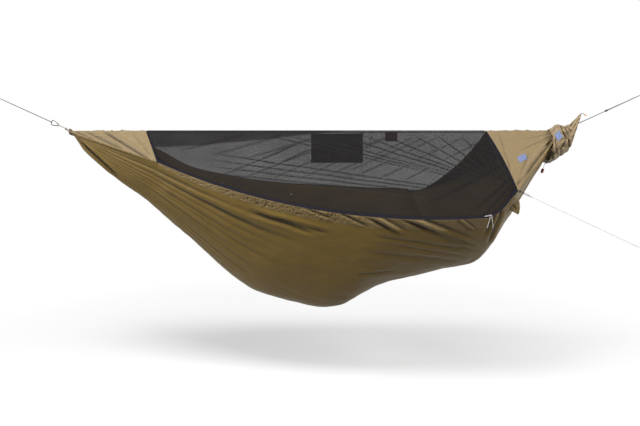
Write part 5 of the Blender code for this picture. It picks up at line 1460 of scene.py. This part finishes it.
def seam_tape(side, seam, other):
    """The tape with a coil along one side seam of the door."""
    rows, line, across = [], [], []
    last = 1 - 0.031 / (seam(0) - seam(1)).length
    for v in np.linspace(0.035, last, 60).tolist():
        edge = seam(v)
        tangent = (seam(v + 0.01) - seam(v - 0.01)).normalized()
        way = other(v) - edge
        way = (way - tangent * way.dot(tangent)).normalized()
        out = tangent.cross(way).normalized()
        if out.y > 0:
            out = -out
        rows.append([tuple(edge + way * (0.0006 + 0.0092 * k / 4)) for k in range(5)])
        line.append(edge + way * 0.0050 + out * 0.0009)
        across.append(np.array(way))
    dress(cloth(f"{side}_tape", np.array(rows), TAPE_CLOTH), "tent", "tape", "zip", f"{side}_seam_tape")
    found, ways = evenly(line, COIL_PITCH)
    spots = [(p, across[int(i * 60 / len(found))], w) for i, (p, w) in enumerate(zip(found, ways))]
    repeated(f"{side}_coil", spots, (0.0042, 0.0015, 0.0022), "tent", "coil")


def ridge():
    """The ridge line with its eyes, and the roof's binding."""
    left, right = (
        [line.at(RIDGE_EYE_AT + RIDGE_EYE_CORD, 0.0, -RIDGE_EYE), line.at(NECK_LENGTH + RIDGE_EYE_CORD)]
        for line in LINES
    )
    points = [*left, *between(gather_start(False), gather_start(True), 60), *right[::-1]]
    eyes = [
        tube("eye", ring_points(line.at(RIDGE_EYE_AT), line.way, RIDGE_EYE, 20), RIDGE_EYE_CORD, closed=True)
        for line in LINES
    ]
    made = joined("ridge_cord", [tube("line", points, RIDGE_CORD, 10), *eyes])
    dress(made, "tent", "dark_cord", "dark_cord", "ridge_line")
    start, end = (
        ridge_point(along) + Vector((inset, 0, 0))
        for along, inset in ((LEFT_SEAM, TAPE_WIDTH), (RIGHT_SEAM, -TAPE_WIDTH))
    )
    made = tube("roof_cord", between(start, end, 80), 0.0018, 10)
    dress(made, "tent", "webbing", "dark_cord", "roof_binding")


net_door()
far_net()
zip_halves()
seam_tape("left", near_seam_left, near_seam_right)
seam_tape("right", near_seam_right, near_seam_left)
ridge()


# Tie-outs and the flap


def tie_out(side, corner, heading, node):
    """A webbing loop sewn into a roof corner, round the wire of its ring."""
    across, rise = axes_of(heading)
    start, bend = corner + heading * TAB_START, 0.0025
    profile = [(x, -0.0007 - max(0.0, x - 0.006) * 0.25) for x in np.linspace(0, TAB_EYELET, 8).tolist()]
    back = [(x, -y) for x, y in profile[::-1]]
    turns = np.linspace(0.1, math.pi - 0.1, 12).tolist()
    profile += [(TAB_EYELET + bend * math.sin(a), -bend * math.cos(a)) for a in turns] + back
    rows = [
        [tuple(start + heading * x + across * y + rise * 0.011 * (k / 8 - 0.5)) for k in range(9)]
        for x, y in profile
    ]
    made = cloth(f"{side}_webbing_loop", np.array(rows), 0.0010)
    dress(made, "tent", "webbing", "dark_cord", node)
    spots = []
    for x in (0.0035, 0.0062):
        for k in range(7):
            spot = start + heading * (x + 0.0004 * (k % 2)) + rise * 0.0095 * ((k + 0.5) / 7 - 0.5)
            spots += [(spot + across * way * 0.0014, rise, across) for way in (-1, 1)]
    repeated(f"{side}_webbing_stitches", spots, (0.0016, 0.0006, 0.0006), "tent", "white_cord")


def bed_normal(u, share):
    """The bed's outward direction at a station and a share of its girth."""
    along = bed_point(u + 0.01, share) - bed_point(u - 0.01, share)
    across = bed_point(u, share + 0.01) - bed_point(u, share - 0.01)
    return across.cross(along).normalized()


def flap():
    """The folded cloth tab under the near tie-out, with two deep folds that meet at its tip."""
    steps, columns, folds = 30, 40, 2.5
    station, share, span = 0.834, 0.040, 0.030
    lift, drop, tip_width, depth = 0.0034, 0.060, 0.011, 0.0075
    stations = [station + span * (i / columns - 0.5) for i in range(columns + 1)]
    root = [bed_point(u, share) + bed_normal(u, share) * lift for u in stations]
    side = (root[-1] - root[0]).normalized()
    out = bed_normal(station, share)
    tip = root[columns // 2] + (out * 0.45 + Vector((0.25, 0, -1))).normalized() * drop
    rows, crease_shade_and_net_doubling = [], []
    for step in np.linspace(0, 1, steps + 1).tolist():
        deep = depth * math.sin(math.pi * min(step + 0.08, 1.0)) ** 0.8 + 0.002
        row, shade_marks = [], []
        for i, point in enumerate(root):
            s = i / columns
            wave = math.cos(2 * math.pi * folds * s)
            goal = tip + side * tip_width * (s - 0.5)
            row.append(tuple(point.lerp(goal, step**0.9) + out * deep * (0.55 - 0.45 * wave)))
            # Painted shade in the valleys of the flap's folds.
            shade_marks.append(max(0.0, wave) * 0.8 * min(1.0, step * 6))
        rows.append(row)
        crease_shade_and_net_doubling.append(shade_marks)
    grid = np.array(rows)
    grid = grid - normals_of(grid) * (fine_noise(grid, 80.0, 1.2) * 0.0012)[..., None]
    made = cloth("flap_cloth", grid, BED_CLOTH, crease_shade_and_net_doubling=np.array(crease_shade_and_net_doubling))
    dress(made, "tent", "strip_cloth", "cloth", "tie_out_flap")
    declared(grid)


tie_out("near", near_place(TIE_OUT), NEAR_HEADING, "near_tie_out_webbing")
tie_out("far", far_rim(TIE), FAR_HEADING, "far_tie_out_webbing")
flap()


# What hangs from the ridge line


def organiser_panel():
    """The organiser's cloth, which sags between its two rings."""
    x, v = np.linspace(-0.5, 0.5, 97)[None, :], np.linspace(0, 1, 61)[:, None]
    near_ring = np.exp(-(((np.abs(x) * ORGANISER_WIDE - 0.1337) / 0.022) ** 2)) * np.exp(-v / 0.22)
    sag = 0.0028 * (1 - (2 * x) ** 4) * (1 - v) ** 3
    y = 0.0016 * np.sin(9 * x + 2 * v) * v + 0.0012 * np.sin(17 * x) * (1 - near_ring)
    y = y * (1 - near_ring) * 0.6 + 0.0006
    z = ORGANISER_TOP - sag - v * ORGANISER_HIGH
    grid = np.stack(np.broadcast_arrays(ORGANISER.x + x * ORGANISER_WIDE, y, z), 2)
    grid[..., 1] += fine_noise(grid, 30.0, 6.1) * 0.0008
    made = cloth("organiser_back", grid, ORGANISER_CLOTH)
    dress(made, "organiser", "dark_cloth", "dark_cord", "organiser_panel")
    return made


def organiser_pocket():
    """The gathered net pocket on the organiser's lower part."""
    x, v = np.linspace(-0.5, 0.5, 97)[None, :], np.linspace(0, 1, 41)[:, None]
    bulge = np.sin(math.pi * (x + 0.5)) ** 0.6 * (1 - v**2)
    gathers = 0.0016 * np.sin(2 * math.pi * 13 * x) * (1 - v) * np.sin(math.pi * (x + 0.5))
    y = -0.0034 - POCKET_DEEP * 0.85 * bulge + gathers
    z = ORGANISER_LOW + 0.0008 + POCKET_HIGH * (1 - v)
    grid = np.stack(np.broadcast_arrays(ORGANISER.x + x * ORGANISER_WIDE * 0.998, y, z), 2)
    made = cloth("organiser_front", grid, ORGANISER_CLOTH)
    dress(made, "organiser", "net", "dark_cord", "organiser_pocket")
    return made, grid


def organiser_hems(pocket_edge):
    """The rolled edges of the panel and of the pocket."""
    sides = [[(organiser_edge(way), 0.0006, z) for z in (ORGANISER_TOP, ORGANISER_LOW)] for way in (-1, 1)]
    foot = [(organiser_edge(way), 0.0, ORGANISER_LOW) for way in (-1, 1)]
    hems = []
    for line in (pocket_edge, *sides, foot):
        points = [Vector(a).lerp(Vector(b), t) for a, b in zip(line, line[1:]) for t in (0.0, 0.5)]
        hems.append(tube("hem", [*points, Vector(line[-1])], 0.0017))
    made = joined("organiser_hems", hems)
    dress(made, "organiser", "webbing", "dark_cord", "organiser_panel")
    return made


def organiser_eyelets():
    """A metal rim on each side of the cloth round both of its holes."""
    rims = []
    for way in (-1, 1):
        for side in (-1, 1):
            middle = Vector((organiser_edge(way, 0.0088), 0.0006 + side * 0.0004, ORGANISER.z - EYELET_DROP))
            rims.append(tube("rim", ring_points(middle, -FRONT, 0.0036, 20), 0.0005, closed=True))
    dress(joined("organiser_eyelets", rims), "organiser", "metal", "black_metal", "organiser_panel")


def organiser_stitches():
    heights = [ORGANISER_TOP - ORGANISER_HIGH * t for t in np.linspace(0.02, 0.98, 20).tolist()]
    lines = [[(Vector((organiser_edge(way, 0.005), -0.0004, z)), FRONT) for z in heights] for way in (-1, 1)]
    repeated(
        "organiser_stitches", stitched(lines, 0.0034), STITCH, "organiser", "dark_thread",
    )


def organiser():
    """The cloth panel on two rings, with its net pocket and hems."""
    panel = organiser_panel()
    pocket, grid = organiser_pocket()
    hem = organiser_hems(grid[0])
    organiser_eyelets()
    declared(grid)
    organiser_stitches()


def tag():
    """The small cloth tag folded over the ridge line."""
    middle, radius, high = place(TAG_AT, 0.0, 0.0), RIDGE_CORD + TOUCH + 0.0005, TAG_HIGH
    profile = [(-radius, -high * (1 - t)) for t in np.linspace(0, 0.97, 18).tolist()]
    profile += [(-radius * math.cos(a), radius * math.sin(a)) for a in np.linspace(0, math.pi, 14).tolist()]
    profile += [(radius, -high * 0.8 * t) for t in np.linspace(0.03, 1, 16).tolist()]
    rows = []
    for s in np.linspace(-1, 1, 31).tolist():
        wave = 0.0012 * math.sin(4 * s) / -high * 1.2
        rows.append([tuple(middle + Vector((TAG_HALF * s, y + wave * min(0, z), z))) for y, z in profile])
    grid = np.array(rows)
    made = cloth("tag_cloth", grid, 0.0008)
    dress(made, "tag", "maroon", "maroon", "ridge_tag")
    declared(grid)
    hem = []
    for s in np.linspace(-1, 1, 12).tolist():
        proud = radius + 0.0006 + 0.0012 * abs(math.sin(4 * s))
        hem.append((Vector((middle.x + 0.030 * s, -proud, middle.z - high + 0.004)), FRONT))
    repeated("tag_stitches", stitched([hem], 0.0034), STITCH, "tag", "dark_thread")


organiser()
tag()


# Stow bag


# The bag's rings: top and bottom along and above the sling, as shares of its size, and share of its depth
BAG_SHARES = (
    (-0.4054, 0.2574, -0.8779, -0.6715, 1.0), (-0.2399, 0.2830, -0.6816, -0.7016, 0.87),
    (-0.0791, 0.2978, -0.4888, -0.6640, 0.73), (0.0346, 0.1924, -0.3130, -0.6400, 0.59),
    (0.1792, 0.1325, -0.1332, -0.6069, 0.46), (0.3459, 0.1610, 0.0460, -0.4744, 0.34),
    (0.5365, 0.2438, 0.1917, -0.2924, 0.25), (0.6989, 0.3129, 0.2614, -0.1833, 0.18),
)
BAG_LENGTH, BAG_HEIGHT, BAG_DEPTH, BAG_PLEATS, BAG_PLEAT_DEPTH = 0.18, 0.17, 0.135, 9, 0.0026
DRAWCORD, DRAWCORD_LENGTH = 0.0012, 0.062
# The bag's folds in the front view: start, end, depth, width
BAG_LINES = (
    (549.2, 131, 549.9, 150, 0.007, 0.8), (552.6, 132, 552.2, 162, 0.008, 0.9),
    (555.0, 137, 556.8, 156, 0.007, 0.7), (559.0, 121, 567.0, 141, 0.010, 0.9),
    (562.8, 124, 569.4, 138, 0.008, 0.8), (568.6, 137, 569.4, 150, 0.007, 0.7),
    (565.0, 125, 571.5, 132, 0.006, 0.7), (559.5, 151, 566.5, 140, 0.007, 0.9),
    (560.0, 156, 562.0, 145, 0.005, 0.7), (569.5, 127, 576.5, 116, 0.005, 0.7),
)


def bag_frame(at):
    """The middle, the half height and the half depth of the bag's ring at a place from 0 to 7."""
    rows = [(i, *shares) for i, shares in enumerate(BAG_SHARES)]
    along_top, up_top, along_low, up_low, depth = spline(rows, at)
    end, way = place(1.0, 0.0, 0.0), suspension_way(True)
    rise = way.cross(Vector((0, 1, 0)))
    top = end + way * along_top * BAG_LENGTH + rise * up_top * BAG_HEIGHT
    low = end + way * along_low * BAG_LENGTH + rise * up_low * BAG_HEIGHT
    return (top + low) / 2, (top - low) / 2, BAG_DEPTH * depth


def bag_point(at, turn, lift):
    middle, reach, wide = bag_frame(at)
    size = 1 + lift / reach.length
    return middle + reach * math.cos(turn) * size - Vector((0, (wide + lift) * math.sin(turn), 0))


def outward(grid):
    """Whether a closed grid's normals point away from its middle."""
    middle = grid.mean(axis=1, keepdims=True)
    return float(np.sum(normals_of(grid) * (grid - middle))) > 0


def bag_lift(at, turn, size):
    """How far the bag's cloth stands out at a place, and how much shade is painted where it lies in a fold.
    """
    slant = turn + 0.10 * math.sin(at * 1.3) + 0.05 * at
    main = math.sin(BAG_PLEATS * slant + 0.6 * math.sin(2 * turn))
    sharp = 1 - 2 * abs(main) ** 0.7 if main < 0 else 1 - 0.25 * (1 - main)
    minor = math.sin(23 * slant + 1.7 * math.sin(3 * turn + at))
    rings = math.sin(5.2 * at + 2.2 * math.sin(2 * turn)) * 0.0016
    hem = 0.0013 * math.exp(-((at - 0.16) / 0.13) ** 2)
    lift = (BAG_PLEAT_DEPTH * 0.95 * sharp + 0.0009 * minor + rings) * size + hem
    return lift, max(0.0, 0.35 - 0.5 * sharp)


def mouth_lobes(at, turn):
    """How far the bag's mouth reaches out, in waves along its lower side."""
    return 0.012 * math.sin(2.5 * (turn - math.pi)) ** 2 * max(0.0, 1 - at / 0.9) * max(0.0, -math.cos(turn))


def stow_bag():
    """The cloth sleeve bunched on the right end: pleats from its mouth, a hem and a soft tip."""
    turns = [2 * math.pi * i / 216 for i in range(216)]
    rows, crease_shade_and_net_doubling = [], []
    for at in np.linspace(0, 7, 110).tolist():
        size = min(1.0, bag_frame(at)[1].length / 0.05)
        row, shade_marks = [], []
        for turn in turns:
            lift, shade_mark = bag_lift(at, turn, size)
            row.append(tuple(bag_point(at, turn, lift) - suspension_way(True) * mouth_lobes(at, turn)))
            shade_marks.append(shade_mark)
        rows.append(row)
        crease_shade_and_net_doubling.append(shade_marks)
    grid = np.array(rows)
    folds = lined(grid, BAG_LINES, 0.2) * eased((math.pi * 1.05 - np.array(turns)) / 0.3)[None]
    push = folds + fine_noise(grid, 55.0, 7.3, 3) * 0.0011
    grid -= normals_of(grid) * (push * (1 if outward(grid) else -1))[..., None]
    # Painted shade in the bag's pleat valleys and creases.
    crease_shade_and_net_doubling = np.array(crease_shade_and_net_doubling) * 0.35 + np.clip(folds / 0.006, 0, 1)
    made = cloth("bag_cloth", grid, BED_CLOTH, closed=True, crease_shade_and_net_doubling=crease_shade_and_net_doubling)
    dress(made, "bag", "painted_light_sleeve_cloth", "cloth", "stow_bag")
    declared(np.concatenate([grid, grid[:, :1]], axis=1))
    return grid


def spot_seen(tree, px, py):
    """Where the front view's line of sight through a pixel meets a surface."""
    ray = VIEW_WAY + Vector((1, 0, 0)) * ((px - 320) / FOCAL) - VIEW_UP * ((py - 213) / FOCAL)
    return tree.ray_cast(VIEW_EYE, ray.normalized())[0]


def label_on(name, tree, pixels, lift, body, node):
    """A thin patch laid over a surface where the front view shows it, stitched round its edge."""
    a, b, c, d = (spot_seen(tree, *pixel) for pixel in pixels)
    rows, spots = [], []
    for v in np.linspace(0, 1, 13).tolist():
        line = [a.lerp(b, s).lerp(d.lerp(c, s), v) for s in np.linspace(0, 1, 19).tolist()]
        rows.append([tuple(p) for p, _ in laid_on(tree, line, lift)])
    grid = np.array(rows)
    made = cloth(name, grid, 0.0007)
    dress(made, body, "patch", "blue_patch", node)
    declared(grid)
    inset = [a.lerp(c, 0.07), b.lerp(d, 0.07), c.lerp(a, 0.07), d.lerp(b, 0.07)]
    for p, q in zip(inset, [*inset[1:], inset[0]]):
        spots += stitched([laid_on(tree, between(p, q, 24), lift + 0.0006)], 0.0036)
    repeated(f"{name}_stitches", spots, (0.0025, 0.0007, 0.0006), body, "white_cord")


def bag_cords():
    """The mouth's drawcord through its toggle, and the short loop at the tip with its cap."""
    start = bag_point(0, math.pi, 0) - Vector((0, 0, DRAWCORD + TOUCH))
    way = Vector((-0.32, -0.05, -1)).normalized()
    points = [start + way * DRAWCORD_LENGTH * i / 24 for i in range(25)]
    made = tube("mouth_drawcord", points, DRAWCORD)
    dress(made, "bag", "dark_cord", "dark_cord", "bag_lower_drawcord")
    way = Vector((1, -0.2, -0.1)).normalized()
    start = bag_point(7, 0.0, 0.0) + way * (DRAWCORD + TOUCH)
    steps = ((-0.004, 0.003, 0.0), (0.0064, 0.0034, 0.004), (0.016, 0.0016, 0.0))
    guide = [start + way * ahead + Vector((0, aside, up)) for ahead, aside, up in steps]
    guide += [start + way * ahead + Vector((0, -aside, up)) for ahead, aside, up in steps[::-1]]
    points = smooth_line(guide, 44)
    made = tube("tip_drawcord", points, DRAWCORD)
    dress(made, "bag", "dark_cord", "dark_cord", "bag_upper_drawcord")


BAG_TREE = surface_of(stow_bag(), closed=True)
BAG_LABEL = ((554.4, 135.4), (558.9, 130.3), (562.9, 137.0), (558.0, 141.4))
label_on("bag_patch", BAG_TREE, BAG_LABEL, 0.0026, "bag", "bag_label")
bag_cords()
PANEL_LABEL = ((517, 157.5), (524.5, 153.5), (527.5, 159), (520, 163))
label_on("panel_patch", surface_of(RIGHT_GRID), PANEL_LABEL, 0.0014, "tent", "panel_label")


# Stitches and seams


def outward_line(grid, index, along_rows=True):
    """A row or column of a grid, each point with its normal turned to the front."""
    normals = front_normals(grid)
    points, ways = (grid[:, index], normals[:, index]) if along_rows else (grid[index], normals[index])
    return [(Vector(p), Vector(n)) for p, n in zip(points, ways)]


def seams():
    """Rows of stitches along the strip, the end panels and the bed's upper hems."""
    lines = [outward_line(STRIP_GRID, k) for k in (1, 22, 25)]
    for grid in (LEFT_GRID, RIGHT_GRID):
        lines.append(outward_line(grid, 2)[8:])
        lines.append(outward_line(grid, len(grid) - 3, False)[:grid.shape[1] // 2])
    hem = outward_line(BED_GRID, 2)
    lines.append([pair for pair in hem if pair[0].x < ARC.start.x][6:])
    lines.append([pair for pair in hem if pair[0].x > near_place(TIE_OUT).x][:-6])
    spots = stitched(lines, 0.0046, 0.0007)
    repeated("seam_stitches", spots, (0.0033, 0.0008, 0.0007), "tent", "thread", 5)


def rim_rolls():
    """The rolled hems of the bed's near rim beyond the zip, and the cover of the zip's left end."""
    rolls = []
    for first, last in ((0.012, CORNER), (TIE, 0.988)):
        line = []
        for i in range(121):
            u = first + (last - first) * i / 120
            wobble = noise.noise(Vector((u * 160, 3.1, 0.0))) * 0.0012
            line.append(near_rim(u) + Vector((0, -0.0026, wobble - 0.0005)))
        rolls.append(tube("roll", line, [0.0034 + 0.0010 * math.sin(i * 0.9) for i in range(121)]))
    dress(joined("rim_seam", rolls), "tent", "strip_cloth", "light_cloth")
    up = (near_seam_left(0.9) - ARC.start).normalized()
    line = [ARC.start + up * 0.016 * (i / 8 - 0.4) + FRONT * 0.0022 for i in range(9)]
    radii = [0.0034 + 0.0012 * math.sin(math.pi * i / 8) for i in range(9)]
    dress(tube("zip_end_cover", line, radii, 10), "tent", "webbing", "dark_cord")


seams()
rim_rolls()


# Finishes of the solids that stay


FINISH_OF = {
    "near_tie_out_ring": "metal", "far_tie_out_ring": "metal", "organiser_ring_left": "metal",
    "organiser_ring_right": "metal", "far_wall_stud": "pale", "zip_slider": "metal",
    "zip_pull_tab": "metal", "bag_toggle": "red", "bag_cord_tip": "orange",
}
for end_side in ("left", "right"):
    FINISH_OF[f"{end_side}_sling_bead"] = "plastic"
    for hook_part in ("hook", "hook_gate", "gate_pin"):
        FINISH_OF[f"{end_side}_{hook_part}"] = "metal"
for node, finish in FINISH_OF.items():
    for slot in bpy.data.objects[node].material_slots:
        slot.material = FINISHES[finish]
